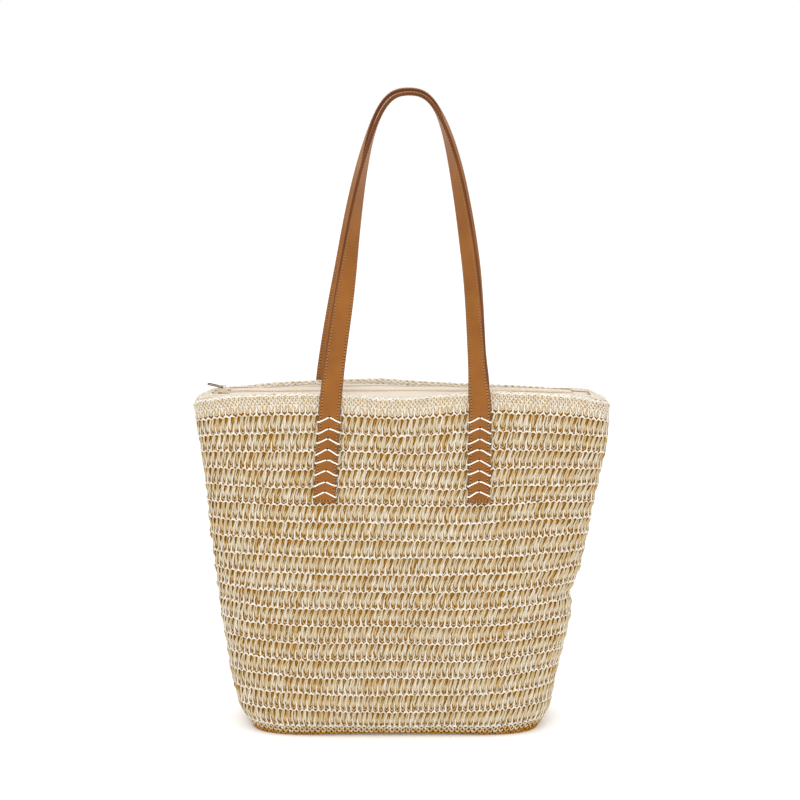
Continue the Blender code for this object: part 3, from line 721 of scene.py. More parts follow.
RIM_POSTS = (  # control points and tones of the row of short posts at the foot of the border; the posts' tone is lower at the top where they dip in, painted shade
    (
        ((0.02, 7.4, -0.10, 0.34, 0.30), (0.00, 5.2, 0.65, 0.60, 0.52), (0.00, 2.6, 0.90, 0.66, 0.56),
         (0.00, 0.1, 0.75, 0.88, 0.42)),
        (0.70, 0.92, 0.98, 0.98),
    ),
    (
        ((0.12, 6.6, -0.3, 0.40, 0.36), (0.20, 3.8, 0.2, 0.46, 0.42), (0.50, 1.3, 0.3, 0.52, 0.42),
         (0.80, 3.8, 0.2, 0.46, 0.42), (0.88, 6.6, -0.3, 0.40, 0.36)),
        0.62,
    ),
    (((0.38, 9.0, 0.1, 0.8, 0.5), (0.44, 6.6, 0.3, 0.85, 0.55), (0.49, 3.6, -0.2, 0.40, 0.35)), 0.66),
    (((0.64, 9.0, 0.1, 0.8, 0.5), (0.58, 6.6, 0.25, 0.85, 0.55), (0.52, 3.4, -0.2, 0.40, 0.35)), 0.64),
)
TIGHT_LEFT = ((-0.36, 1.5, 0.00, 0.50, 0.42), (-0.20, 0.2, 0.52, 0.82, 0.55), (0.02, -1.4, 0.05, 0.52, 0.42))
TIGHT_RIGHT = ((0.36, 1.5, 0.00, 0.50, 0.42), (0.20, 0.2, 0.46, 0.82, 0.55), (-0.02, -1.4, 0.05, 0.52, 0.42))
TIGHT_COLUMNS = 216
TIGHT_FOOT = 8.4  # millimetres above the wall's top line
TIGHT_SHADES = (0.00, 0.02, -0.04, -0.16)  # one for each course; the top course is darker, painted shadow under the rolled edge
LIP_ARC = (
    (-0.60, -1.6, -0.10, 0.45, 0.40), (-0.30, -0.5, 0.45, 0.75, 0.55), (0.00, 0.1, 0.65, 0.90, 0.60),
    (0.30, -0.4, 0.45, 0.75, 0.55), (0.62, -1.7, -0.10, 0.45, 0.40),
)
LIP_CHAIN = (  # share of the half turn over the rim, tone, shift in columns; the tone is highest on the outside of the roll and falls as the chain turns over into the mouth, painted light and shade
    (0.10, 1.05, 0.0), (0.34, 0.84, 0.3), (0.62, 0.80, 0.7), (0.92, 0.78, 0.2), (1.24, 0.74, 0.6),
    (1.58, 0.70, 0.1), (1.90, 0.66, 0.5),
)
CROSS = ((-0.30, -1.2, 0.15, 0.55, 0.45), (0.05, 0.1, 0.35, 0.70, 0.50), (0.34, 1.2, 0.10, 0.55, 0.45))
CROSS_SHARES = (0.22, 0.48, 0.76, 1.06, 1.40, 1.74)


def build_tight_stitches(rng):
    def level(height):
        return lambda u: row_line(0, u) + height * MM

    parts = [
        strands(row_keys(keys, 0, rng, level(0.0), lambda u: row_line(0, u) - ROW_PITCH), 9, 8, tone, rng)
        for keys, tone in RIM_POSTS
    ]
    for course, shade in enumerate(TIGHT_SHADES):
        height = TIGHT_FOOT + 2.55 * course
        lines = [level(height), level(height - 2.6)]
        for keys, tone in ((TIGHT_LEFT, 0.72 + shade), (TIGHT_RIGHT, 0.64 + shade)):
            placed = row_keys(keys, 0, rng, *lines, TIGHT_COLUMNS, 0.22 * MM, 0.5 * (course % 2))
            # each stitch is darker at its two ends, where it dips in: painted shade
            parts.append(strands(placed, 7, 8, (tone - 0.2, tone, tone - 0.2), rng))
    piece("rim_tight_stitches", parts, [RIM_STRAW], nodes=("rim_band",))


def build_edge_chain(rng):
    """The chain that rolls over the rim, with cross stitches between its rows, and the flat rows that
    turn in over the facing at the ends of the mouth."""
    edge = []
    roll = LIP * math.pi / MM

    def lip_keys(keys, height, wave, stagger):
        def line(u):
            return BAND_Z + height * MM + wave * MM * ripple(u, height, 52, 8, 30, 1.0)

        return row_keys(keys, 0, rng, line, lambda u: line(u) - 2 * MM, COLUMNS, 0.18 * MM, stagger)

    for share, tone, stagger in LIP_CHAIN:
        keys = lip_keys(LIP_ARC, (LIP_Z - BAND_Z) / MM + share * roll + 0.6, 0.20, stagger)
        # each arc is darker at its ends where it dips in: painted shade
        edge.append(strands(keys, 11, 8, (tone - 0.25, tone - 0.05, tone, tone - 0.05, tone - 0.25), rng))
    for share in CROSS_SHARES:
        keys = lip_keys(CROSS, (LIP_Z - BAND_Z) / MM + share * roll, 0.0, 0.5)
        edge.append(strands(keys, 7, 7, 0.66, rng))
    weights = spline_weights(len(LIP_ARC), 11)
    bump = weights @ np.array(LIP_ARC)[:, 2] * MM
    for course in range(5):
        inwards = 4.0 + 2.1 * course
        flat_arc = [(across, 0.0, up - inwards, wide, thick) for across, up, _, wide, thick in LIP_ARC]
        lines = [lambda u: LIP_Z, lambda u: LIP_Z - 2 * MM]
        keys = row_keys(flat_arc, 0, rng, *lines, COLUMNS, 0.0, 0.5 * (course % 2))
        at_end = np.abs(np.cos(2 * math.pi * keys[..., 0].mean(axis=1))) > 0.87
        path = np.einsum("sk,nkc->nsc", weights, keys[at_end])
        centre, _ = wall_point(path[..., 0], path[..., 1], path[..., 2])
        centre[..., 2] = CLOTH_Z + mouth_shift(centre[..., 0], centre[..., 1]) + 0.8 * MM + bump
        # darker at both ends of each arc: painted shade where it dips in
        tones = weights @ np.array((0.45, 0.72, 0.85, 0.72, 0.45)) + rng.normal(0, 0.11, (len(path), 1))
        normal = np.broadcast_to((0.0, 0.0, 1.0), centre.shape)
        edge.append(sweep(centre, normal, path[..., 3], path[..., 4], 8, tones))
    piece("rim_edge_chain", edge, [RIM_STRAW])


def build_rim():
    """The border: tight stitches, the rolled edge and the core behind them."""
    rng = np.random.default_rng(300)
    build_tight_stitches(rng)
    build_edge_chain(rng)
    u = np.linspace(0, 1, 480, endpoint=False)
    v = np.linspace(BAND_Z + 0.0015, LIP_Z + LIP * math.pi * 2.0, 38)
    uu, vv = np.meshgrid(u, v)
    face, _ = wall_point(uu, vv, np.full_like(uu, -0.20 * MM))
    rear, _ = wall_point(uu, np.minimum(vv, LIP_Z), np.full_like(uu, -3.0 * MM))
    points = np.concatenate((face, rear[::-1]))
    data = np.stack((uu * 0.86, vv * 300, 0.64 + 0.06 * ripple(uu, vv, 43, 10, 120, 200.0)), axis=-1)
    part = grid(points, np.concatenate((data, data[::-1])), close_u=True, close_v=True)
    piece("rim_core", [part], [RIM_STRAW])


BASE_COURSES = 15
BASE_PITCH = 0.0031


def build_base():
    """The last tight courses that turn under the bag, and the bottom."""
    rng = np.random.default_rng(500)
    left = ((-0.38, 1.5, -0.10, 0.62, 0.46), (-0.20, 0.2, 0.50, 0.98, 0.60), (0.02, -1.6, 0.00, 0.62, 0.46))
    right = ((0.38, 1.5, -0.10, 0.62, 0.46), (0.22, 0.2, 0.44, 0.98, 0.60), (-0.02, -1.6, 0.00, 0.62, 0.46))
    arc_rng = np.random.default_rng(501)
    line = row_keys(ARC, 0, arc_rng, lambda u: row_line(ROWS, u), lambda u: row_line(ROWS, u) - ROW_PITCH)
    # the arc is lighter at its crest, a painted highlight, and darker at its ends, painted shade
    parts = [strands(line, 11, 8, (0.60, 0.82, 0.94, 0.82, 0.60), arc_rng)]
    for course in range(BASE_COURSES):
        drop = 0.0034 + course * BASE_PITCH
        # courses that turn under the bag are darker: painted shade on the underside
        fade = 0.55 * smoothstep((course - 1.2) / 1.0)
        for keys, tone in ((left, 0.66), (right, 0.60)):
            lines = [lambda u: row_line(ROWS, u) - drop, lambda u: row_line(ROWS, u) - drop - BASE_PITCH]
            placed = row_keys(keys, 0, rng, *lines, COLUMNS, 0.16 * MM, 0.5 * (course % 2))
            pressed = placed[..., 2] * 0.4 - 0.45 * MM
            placed[..., 2] = np.where(placed[..., 1] < TUCK_Z, pressed, placed[..., 2])
            parts.append(strands(placed, 7, 6, (tone - 0.25 - fade, tone - fade, tone - 0.25 - fade), rng))
    u = np.linspace(0, 1, 240, endpoint=False)
    rings = []
    for share, z in ((1.0, 0.0012), (0.6, 0.0010), (0.3, 0.0010), (0.02, 0.0010)):
        edge, _ = wall_point(u, np.full_like(u, TUCK_Z - TUCK * math.pi / 2 - 0.030), np.zeros_like(u))
        rings.append(np.stack((edge[:, 0] * share, edge[:, 1] * share, np.full_like(u, z)), axis=-1))
    points = np.stack(rings)
    data = np.zeros_like(points)
    data[..., 2] = 0.4
    parts.append(grid(points, data, close_u=True))
    piece("base_tight_stitches", parts, [STRAW], nodes=("straw_base",))


build_rows()
build_backing()
build_rim()
build_base()


# Straps: the same rule as the frame's handle loops and sewn ends

STRAP_OFFSET = 0.00355
FOLD_Z = 0.3378
SPLIT = 0.0006
END_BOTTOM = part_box("front_left_strap_end_outer_ply")[0][2]
ARCH_POWER = 2.827
ARCH_SCALE_MM = 9.79
APEX_Y = 0.0128
TWIST_START_Z = 0.3420
TWIST_LEFT = ((0, 0), (0.030, 15), (0.090, 25), (0.155, 52), (0.214, 72), (0.251, 85.5), (0.275, 90))
TWIST_RIGHT = (
    (0, 0), (0.014, 24), (0.030, 37), (0.090, 44), (0.155, 50), (0.214, 61.5), (0.251, 75), (0.285, 90)
)
HANDLES = {
    "front": {"sign": -1, "apex": 0.6400, "widen": 1.00, "mid": (0.0039, 0.0079), "feet": (-0.0760, 0.0765)},
    "back": {"sign": 1, "apex": 0.6430, "widen": 1.07, "mid": (0.0014, 0.0072), "feet": (-0.0790, 0.0815)},
}
BEND = ((0, 0, 0.3255), (0, 0, 0.3500))  # between these a strap goes over from the bag to its handle


def wall_y(x, z):
    a, b, p = wall_station(z)
    return b * (1 - np.abs(x / a) ** p) ** (1 / p)


def end_frames(handle, top_x, foot_x, rising):
    sign = handle["sign"]
    z = np.linspace(END_BOTTOM, FOLD_Z - SPLIT / 2, 34)
    x = np.interp(z, (END_BOTTOM, z[-1]), (foot_x, top_x))
    step = 0.004
    slope = (wall_y(x + step, z) - wall_y(x - step, z)) / (2 * step)
    width = unit(np.stack((np.ones_like(z), sign * slope, np.zeros_like(z)), axis=1))
    face = np.stack((width[:, 1], -width[:, 0], np.zeros_like(z)), axis=1)
    face = face * np.sign(face[:, 1:2] * sign)
    centre = np.stack((x, sign * wall_y(x, z), z), axis=1) + face * STRAP_OFFSET
    if rising:
        return centre, width, face
    return centre[::-1], -width[::-1], face[::-1]


def loop_frames(handle):
    sign = handle["sign"]
    start = FOLD_Z + SPLIT / 2
    scale = handle["widen"] * ARCH_SCALE_MM
    reach = scale * (1000 * (handle["apex"] - start)) ** (1 / ARCH_POWER) / 1000
    foot_y = wall_y(reach, start) + STRAP_OFFSET
    across = np.linspace(-reach, reach, 4001)
    z = handle["apex"] - (np.abs(across) * 1000 / scale) ** ARCH_POWER / 1000
    low, high = handle["mid"]
    x = across + low + (high - low) * smoothstep((z - start) / 0.140)
    y = sign * (foot_y + (APEX_Y - foot_y) * (z - start) / (handle["apex"] - start))
    line = np.stack((x, y, z), axis=1)
    along = distances(line)
    line = resample(np.linspace(0, along[-1], 300), along, line)
    tangent = unit(np.gradient(line, axis=0))
    apex = int(np.argmax(line[:, 2]))
    across = np.array((0.0, 1.0, 0.0)) - tangent * tangent[:, 1:2]
    across = unit(across)
    inward = np.cross(across, tangent)
    rise = line[:, 2] - TWIST_START_Z
    twists = [np.interp(rise, *np.array(t, float).T) for t in (TWIST_LEFT, TWIST_RIGHT)]
    twist = np.radians(np.where(np.arange(len(line)) < apex, *twists))[:, None]
    width = unit(inward * np.cos(twist) - across * np.sin(twist) * sign)
    return line, width, np.cross(width, tangent) * -sign


def blur(values, reach):
    kernel = np.hanning(2 * reach + 3)[1:-1]
    kernel /= kernel.sum()
    padded = np.pad(values, ((reach, reach), (0, 0)), mode="edge")
    out = np.stack([np.convolve(padded[:, k], kernel, mode="valid") for k in range(3)], axis=1)
    out[:reach] = values[:reach]
    out[-reach:] = values[-reach:]
    return out


def strap_frames(handle, spacing=0.0028):
    """Evenly spaced centres, width and face directions and distances from end to end."""
    loop = loop_frames(handle)
    ends = [
        end_frames(handle, loop[0][0, 0], handle["feet"][0], True),
        end_frames(handle, loop[0][-1, 0], handle["feet"][1], False),
    ]
    raw = [np.concatenate((ends[0][k], loop[k], ends[1][k])) for k in range(3)]
    along = distances(raw[0])
    at = np.linspace(0, along[-1], int(along[-1] / spacing) + 1)
    fine = [resample(at, along, a) for a in raw]
    centre = blur(fine[0], 3)
    width, face = blur(fine[1], 5), blur(fine[2], 5)
    tangent = unit(np.gradient(centre, axis=0))
    width = unit(width - tangent * np.sum(width * tangent, axis=1, keepdims=True))
    square = np.cross(width, tangent)
    face = square * np.sign(np.sum(square * face, axis=1, keepdims=True))
    return centre, width, face, at


# Right half of a strap's section: across and out, in millimetres, from the middle of the outer face
# round the painted edge to the middle of the inner face
SECTION = (
    (0.0, 1.80), (3.0, 1.80), (5.4, 1.78), (7.0, 1.74), (7.7, 1.68), (8.3, 1.46), (8.9, 1.67), (9.6, 1.66),
    (10.15, 1.54), (10.50, 1.22), (10.68, 0.70), (10.66, 0.22), (10.54, 0.0), (10.66, -0.22), (10.68, -0.70),
    (10.50, -1.22), (10.15, -1.54), (9.6, -1.66), (8.9, -1.67), (8.3, -1.46), (7.7, -1.68), (7.0, -1.74),
    (5.4, -1.78), (3.0, -1.80), (0.0, -1.80),
)
SEAM_X = 8.3 * MM
SEAM_OUT = 1.46 * MM


def strap_section():
    right = np.array(SECTION) * MM
    left = right[-2:0:-1] * (-1, 1)
    return np.concatenate((right, left))


def at_distance(frames, distance):
    centre, width, face = [resample(distance, frames[3], a) for a in frames[:3]]
    return centre, unit(width), unit(face)


def build_strap(side, handle):
    frames = strap_frames(handle)
    centre, width, face, along = frames
    section = strap_section()
    ring = (
        centre[:, None, :]
        + width[:, None, :] * section[None, :, :1]
        + face[:, None, :] * section[None, :, 1:]
    )
    stations, count = ring.shape[:2]
    data = np.zeros((stations, count, 3))
    data[..., 0] = along[:, None]
    middle = (section + np.roll(section, -1, axis=0)) / 2
    kinds = np.where(np.abs(middle[:, 0]) > 10.0 * MM, 1, np.where(middle[:, 1] < 0, 2, 0))

    def pick(mesh):
        return np.concatenate((np.tile(kinds, stations - 1), (1, 1)))

    nodes = [f"{side}_handle_{ply}_ply" for ply in ("outer", "inner")]
    nodes += [f"{side}_{end}_strap_end_{ply}_ply" for end in ("left", "right") for ply in ("outer", "inner")]
    strap = piece(
        f"{side}_strap_leather",
        [(ring.reshape(-1, 3), data.reshape(-1, 3), *tube_faces(stations, count))],
        [LEATHER, EDGE, LEATHER_INNER],
        body=f"{side}_handle",
        nodes=nodes,
        ends=BEND,
        pick=pick,
    )
    check_winding(strap)
    build_seams(side, frames)
    build_chevrons(side, frames)


def check_winding(obj):
    """Turns a closed mesh's faces outwards if its volume comes out negative."""
    mesh = obj.data
    points = np.zeros(len(mesh.vertices) * 3)
    mesh.vertices.foreach_get("co", points)
    points = points.reshape(-1, 3)
    mesh.calc_loop_triangles()
    corners = np.zeros(len(mesh.loop_triangles) * 3, np.int32)
    mesh.loop_triangles.foreach_get("vertices", corners)
    a, b, c = points[corners.reshape(-1, 3)].transpose(1, 0, 2)
    if np.sum(a * np.cross(b, c)) < 0:
        mesh.flip_normals()


def build_seams(side, frames):
    """Dashes of thread between needle holes along both edges and across both ends, on both faces."""
    rng = np.random.default_rng(700 + len(side))
    along = frames[3]
    pitch = 3.0 * MM
    start = 2.4 * MM
    parts = []
    lines = [(sign * SEAM_X, None, out) for sign in (-1, 1) for out in (1, -1)]
    lines += [(None, end, out) for end in (start, along[-1] - start) for out in (1, -1)]
    for x, end, out in lines:
        count = int((along[-1] - 2 * start) / pitch) if end is None else int(2 * SEAM_X / pitch)
        for kind, shift, half in (("thread", 0.5, 0.90), ("hole", 0.0, 0.72)):
            middle = (np.arange(count) + shift) * pitch + rng.normal(0, 0.10 * MM, count)
            run = middle[:, None] + np.array((-1.0, -0.62, 0.0, 0.62, 1.0)) * half * MM
            if end is None:
                centre, width, face = at_distance(frames, run + start)
                across = np.broadcast_to(x + rng.normal(0, 0.08 * MM, (count, 1)), run.shape)
                deep = np.full(run.shape, SEAM_OUT)
            else:
                across = run - SEAM_X
                centre, width, face = at_distance(frames, np.full_like(run, end))
                deep = np.interp(np.abs(across), (7.7 * MM, SEAM_X), (1.76 * MM, SEAM_OUT))
            if kind == "thread":
                lift, wide, tone = (-0.15, 0.22, 0.30, 0.22, -0.15), (0.26, 0.40, 0.42, 0.40, 0.26), 0.85
            else:
                # needle holes: flat dark spots, painted shade in the holes
                lift, wide, tone = (-0.10, 0.16, 0.26, 0.16, -0.10), (0.26, 0.60, 0.72, 0.60, 0.26), 0.0
            height = out * (deep + np.array(lift) * MM)
            points = centre + width * across[..., None] + face * height[..., None]
            wide = np.broadcast_to(np.array(wide) * MM, run.shape)
            thick = wide * (0.8 if kind == "thread" else 0.22)
            parts.append(sweep(points, face * out, wide, thick, 6, np.full(run.shape, tone)))
    piece(f"{side}_strap_seams", parts, [SEAM], body=f"{side}_handle", ends=BEND)


CHEVRON_COUNT = 8
CHEVRON_TOP_Z = 0.3250
CHEVRON_PITCH = 0.0106
THREAD_TWIST = 3.6 * MM  # length of one turn of the thread's two strands
# half of a chevron: across, out from the strap's middle, drop and thread tone, from hole to wall; the tone is
# low at the hole and falls towards the wall behind the strap, painted shade
CHEVRON_PATH = (
    (0.65, 1.30, 0.50, 0.05),
    (1.20, 2.35, 0.45, 0.90),
    (3.00, 2.62, 1.25, 1.00),
    (6.60, 2.58, 3.00, 1.00),
    (9.40, 2.30, 4.40, 1.00),
    (10.7, 1.20, 5.00, 0.95),
    (11.2, -0.90, 5.20, 0.90),
    (11.1, -2.60, 5.30, 0.70),
    (10.7, -4.60, 5.35, 0.60),
)


def build_chevrons(side, frames):
    centre, width, face, along = frames
    half = len(along) // 2
    for end, index in (("left", slice(0, half)), ("right", slice(half, None))):
        rng = np.random.default_rng(900 + len(side) * 2 + len(end))
        order = np.argsort(centre[index, 2])
        guides = [a[index][order] for a in (centre, width, face)]
        across_sign = 1 if width[index][0, 0] > 0 else -1
        runs, holes = [], []
        for row in range(CHEVRON_COUNT):
            peak = CHEVRON_TOP_Z - row * CHEVRON_PITCH + rng.normal(0, 0.25 * MM)
            for sign in (-1, 1):
                keys = np.array(CHEVRON_PATH)
                keys[:, 0] += rng.normal(0, 0.12, len(keys))
                keys[:, 2] *= rng.normal(1.0, 0.12)
                keys[2:5, 2] += rng.normal(0, 0.22)
                keys[:, 2] += rng.normal(0, 0.10, len(keys))
                path = spline_weights(len(keys), 40) @ keys
                height = peak - path[:, 2] * MM
                place, across, out = [resample(height, guides[0][:, 2], a) for a in guides]
                point = place + across * (across_sign * sign * path[:, :1] * MM) + out * path[:, 1:2] * MM
                point[:, 2] = height
                runs.append((point, out, path[:, 3]))
            spot = np.array(((-0.9, 1.62), (0.0, 2.05), (0.9, 1.62)))
            at = np.full(3, peak + 0.2 * MM)
            place, across, out = [resample(at, guides[0][:, 2], a) for a in guides]
            point = place + across * spot[:, :1] * MM + out * spot[:, 1:] * MM
            point[:, 2] = at + np.array((0.0, 0.3, 0.0)) * MM
            holes.append((point, out))
        point, normal, tone = (np.stack(k) for k in zip(*runs))
        parts = []
        tangent = unit(np.gradient(point, axis=1))
        side_way = unit(np.cross(tangent, normal))
        up = np.cross(side_way, tangent)
        for strand in (0, 1):
            turn = distances(point) * 2 * math.pi / THREAD_TWIST + strand * math.pi
            offset = side_way * np.cos(turn)[..., None] + up * np.sin(turn)[..., None]
            radius = np.full(point.shape[:2], 0.50 * MM)
            parts.append(sweep(point + offset * 0.36 * MM, normal, radius, radius, 7, tone))
        # a dark spot at each top hole: painted shade in the hole
        spot, spot_normal = (np.stack(k) for k in zip(*holes))
        size = np.full(spot.shape[:2], 0.80 * MM)
        parts.append(sweep(spot, spot_normal, size, size * 0.5, 8, np.zeros(spot.shape[:2])))
        piece(
            f"{side}_{end}_chevron_stitches",
            parts,
            [CHEVRON],
            nodes=(f"{side}_{end}_chevron_thread",),
        )


for side, handle in HANDLES.items():
    build_strap(side, handle)


# Mouth: facing, zip panels, tapes, coils and lining

FACING_INSET = 0.0046  # from the frame's outline to the edge of the facing
NOTCH_X, NOTCH_Y = 0.1905, 0.0136  # the facing is cut out round the sewn ends of the zip
ZIP_END_OVER = 0.0010  # how far their cloth reaches over the notch


def plain_data(points, tone=1.0):
    data = np.zeros_like(points)
    data[..., 0] = points[..., 0]
    data[..., 1] = np.linspace(-1, 1, points.shape[1])[None, :]
    data[..., 2] = tone
    return data


def loft(rings):
    """A closed strip through closed sections, capped at both ends."""
    return rings.reshape(-1, 3), plain_data(rings).reshape(-1, 3), *tube_faces(*rings.shape[:2])


def strip(low_x, high_x, section, step=0.003, wave=0.0, seed=1):
    """A strip along X with a closed section of (y, z) points."""
    x = np.linspace(low_x, high_x, max(2, int((high_x - low_x) / step)))
    section = np.array(section)
    rings = np.zeros((len(x), len(section), 3))
    rings[..., 0] = x[:, None]
    rings[..., 1] = section[:, 0]
    rings[..., 2] = section[:, 1] + mouth_shift(rings[..., 0], rings[..., 1])
    if wave:
        span = (section[:, 0] - section[:, 0].min()) / np.ptp(section[:, 0])
        rings[..., 2] += wave * ripple(x[:, None] * 2.0, span[None, :] * 0.06, seed, 9, 9, 9.0)
    return loft(rings)


def inner_outline(x, sign):
    """Y of the rim's inner face at places along the bag."""
    a, b, p = wall_station(CLOTH_Z)
    a, b = a - FACING_INSET, b - FACING_INSET
    return sign * b * np.maximum(1 - np.abs(x / a) ** p, 0.0) ** (1 / p)


def solid_sheet(obj, thickness):
    shell = obj.modifiers.new("cloth_thickness", "SOLIDIFY")
    shell.thickness = thickness
    shell.offset = -1.0


def build_facing(side, sign):
    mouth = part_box("zip_flap_" + side)
    hinge_y = max(abs(mouth[0][1]), abs(mouth[1][1])) + 0.0003
    ledge_x = mouth[1][0] + 0.0002
    end_x = NOTCH_X
    tip = wall_station(CLOTH_Z)[0] - FACING_INSET - 1e-7
    x = np.concatenate(
        (
            -(end_x + (tip - end_x) * np.sin(np.linspace(math.pi / 2, 0, 24))),
            -np.linspace(end_x - 0.00005, ledge_x + 0.00005, 8),
            np.linspace(-ledge_x, ledge_x, 140),
            np.linspace(ledge_x + 0.00005, end_x - 0.00005, 8),
            end_x + (tip - end_x) * np.sin(np.linspace(0, math.pi / 2, 24)),
        )
    )
    size = np.abs(x)
    near = np.where(size <= ledge_x, hinge_y, np.where(size < end_x, NOTCH_Y, 0.0002))
    far = np.maximum(np.abs(inner_outline(x, sign)), near + 0.0002)
    share = np.linspace(0, 1, 12)[:, None]
    y = near + (far - near) * share
    z = CLOTH_Z - 0.0001 + 0.0004 * ripple(x[None, :] * 2, share * 0.05 + sign, 61, 9, 11, 9.0)
    z = z + mouth_shift(x[None, :], sign * y)
    ledge = np.stack((np.broadcast_to(x, y.shape), sign * y, np.broadcast_to(z, y.shape)), axis=-1)
    drop = np.array((0.0010, 0.003, 0.007, 0.012, 0.018, 0.0200))
    skirt = np.repeat(ledge[-1:], len(drop), axis=0)
    skirt[..., 2] -= drop[:, None]
    inset = unit(np.stack((-x / 0.21, -sign * far / 0.05), axis=-1)) * 0.0006
    skirt[..., :2] += inset * smoothstep(drop / 0.003)[:, None, None]
    points = np.concatenate((ledge, skirt))
    if sign > 0:
        points = points[:, ::-1]
    obj = piece(
        f"mouth_facing_{side}_cloth",
        [grid(points, plain_data(points))],
        [LINING],
        nodes=(f"mouth_facing_{side}",),
    )
    solid_sheet(obj, 0.0009)


def build_flap(side, sign):
    body = f"{side}_flap"
    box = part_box("zip_flap_" + side)
    low_x, high_x = box[0][0], box[1][0]
    near = min(abs(box[0][1]), abs(box[1][1]))
    far = max(abs(box[0][1]), abs(box[1][1]))
    top = box[1][2]
    thin = 0.0009
    y = np.array((far, far - 0.006, far - 0.013, near + 0.0075, near + 0.0030, near + 0.0010, near + 0.0001))
    rise = np.array((0.0, 0.0, 0.0002, 0.0003, 0.0001, 0.0005, 0.0001))
    upper = [(sign * a, top + b) for a, b in zip(y, rise)]
    share = (0.4, 1.3, 1.0, 1, 1, 1, 1)
    lower = [(sign * a, top + b - thin * c) for a, b, c in zip(y[::-1], rise[::-1], share)]
    obj = piece(
        f"zip_panel_{side}_cloth",
        [strip(low_x, high_x, upper + lower, 0.003, 0.00028, 71 + sign)],
        [LINING],
        body=body,
        nodes=("zip_flap_" + side,),
        ends=((0, sign * far, 0), (0, sign * (far - 0.006), 0)),
    )
    check_winding(obj)
    pitch = 0.0026
    x = np.arange(low_x + 0.003, high_x - 0.003, pitch)[:, None] + np.array((-0.9, -0.5, 0.0, 0.5, 0.9)) * MM
    points = np.zeros((*x.shape, 3))
    points[..., 0] = x
    points[..., 1] = sign * (near + 0.0026)
    points[..., 2] = top + 0.0002 + np.array((-0.3, 0.1, 0.18, 0.1, -0.3)) * MM
    points[..., 2] += mouth_shift(points[..., 0], points[..., 1])
    wide = np.broadcast_to(np.array((0.15, 0.25, 0.27, 0.25, 0.15)) * MM, x.shape)
    up = np.broadcast_to((0.0, 0.0, 1.0), points.shape)
    seam = sweep(points, up, wide, wide * 0.8, 6, np.full(x.shape, 0.8))
    piece(f"zip_panel_{side}_seam", [seam], [COTTON], body=body)

    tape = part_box("zip_tape_" + side)
    near_t = min(abs(tape[0][1]), abs(tape[1][1]))
    far_t = max(abs(tape[0][1]), abs(tape[1][1]))
    low_z, high_z = tape[0][2], tape[1][2]
    section = [(near_t, low_z), (far_t, low_z), (far_t, high_z), (near_t + 0.0004, high_z)]
    section = [(sign * across, up) for across, up in section]
    obj = piece(
        f"zip_tape_{side}_weave",
        [strip(low_x, high_x, section)],
        [TAPE_PAINTED_SHADE],
        body=body,
        nodes=("zip_tape_" + side,),
        smooth=False,
    )
    check_winding(obj)
    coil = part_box("zip_coil_" + side)
    piece(
        f"zip_coil_{side}_teeth",
        [teeth(low_x, high_x, sign, coil[0][2], coil[1][2])],
        [COIL],
        body=body,
        nodes=("zip_coil_" + side,),
    )


COIL_TURN = (  # from the zip's middle, up, and radius, in millimetres
    (3.7, -0.7, 0.36), (3.7, 0.5, 0.36), (2.6, 0.75, 0.36), (1.4, 0.65, 0.40), (0.75, 0.05, 0.52),
    (1.4, -0.60, 0.40), (2.8, -0.75, 0.34),
)


def teeth(low_x, high_x, sign, low_z, high_z):
    """The turns of one nylon coil, each a bent bar with its head at the middle."""
    pitch = 0.0015
    x = np.arange(low_x + 0.0008 + (pitch / 2 if sign > 0 else 0.0), high_x - 0.0006, pitch)
    mid = (low_z + high_z) / 2
    path = spline_weights(len(COIL_TURN), 13) @ np.array(COIL_TURN)
    points = np.zeros((len(x), len(path), 3))
    points[..., 0] = x[:, None] + np.linspace(-0.25, 0.25, len(path)) * MM
    points[..., 1] = sign * path[:, 0] * MM
    points[..., 2] = mid + path[:, 1] * MM + mouth_shift(points[..., 0], points[..., 1])
    wide = np.broadcast_to(path[:, 2] * MM, points.shape[:2])
    normal = np.broadcast_to((1.0, 0.0, 0.0), points.shape)
    return sweep(points, normal, wide, wide, 6, np.full(points.shape[:2], 0.8))


def build_zip_end(name, sign):
    """A cloth tab over the sewn end of the zip: a channel for the slider, closed at its outer end."""
    low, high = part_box(name)
    y = high[1] + ZIP_END_OVER
    rise = CLOTH_Z - 0.0006
    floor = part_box("zip_tape_front")[1][2] + 0.0001
    section = [(-y, low[2]), (y, low[2]), (y, rise), (y * 0.86, rise), (y * 0.78, floor)]
    section += [(-y * 0.78, floor), (-y * 0.86, rise), (-y, rise)]
    parts = [strip(low[0] - 0.0004, high[0] + 0.0004, section, 0.002)]
    outer = sign * max(abs(low[0]), abs(high[0]))
    block = [(-y, low[2]), (y, low[2]), (y, rise), (-y, rise)]
    parts.append(strip(*sorted((outer - sign * 0.0012, outer + sign * 0.0010)), block))
    obj = piece(name + "_tape", parts, [LINING], nodes=(name,), smooth=False)
    check_winding(obj)


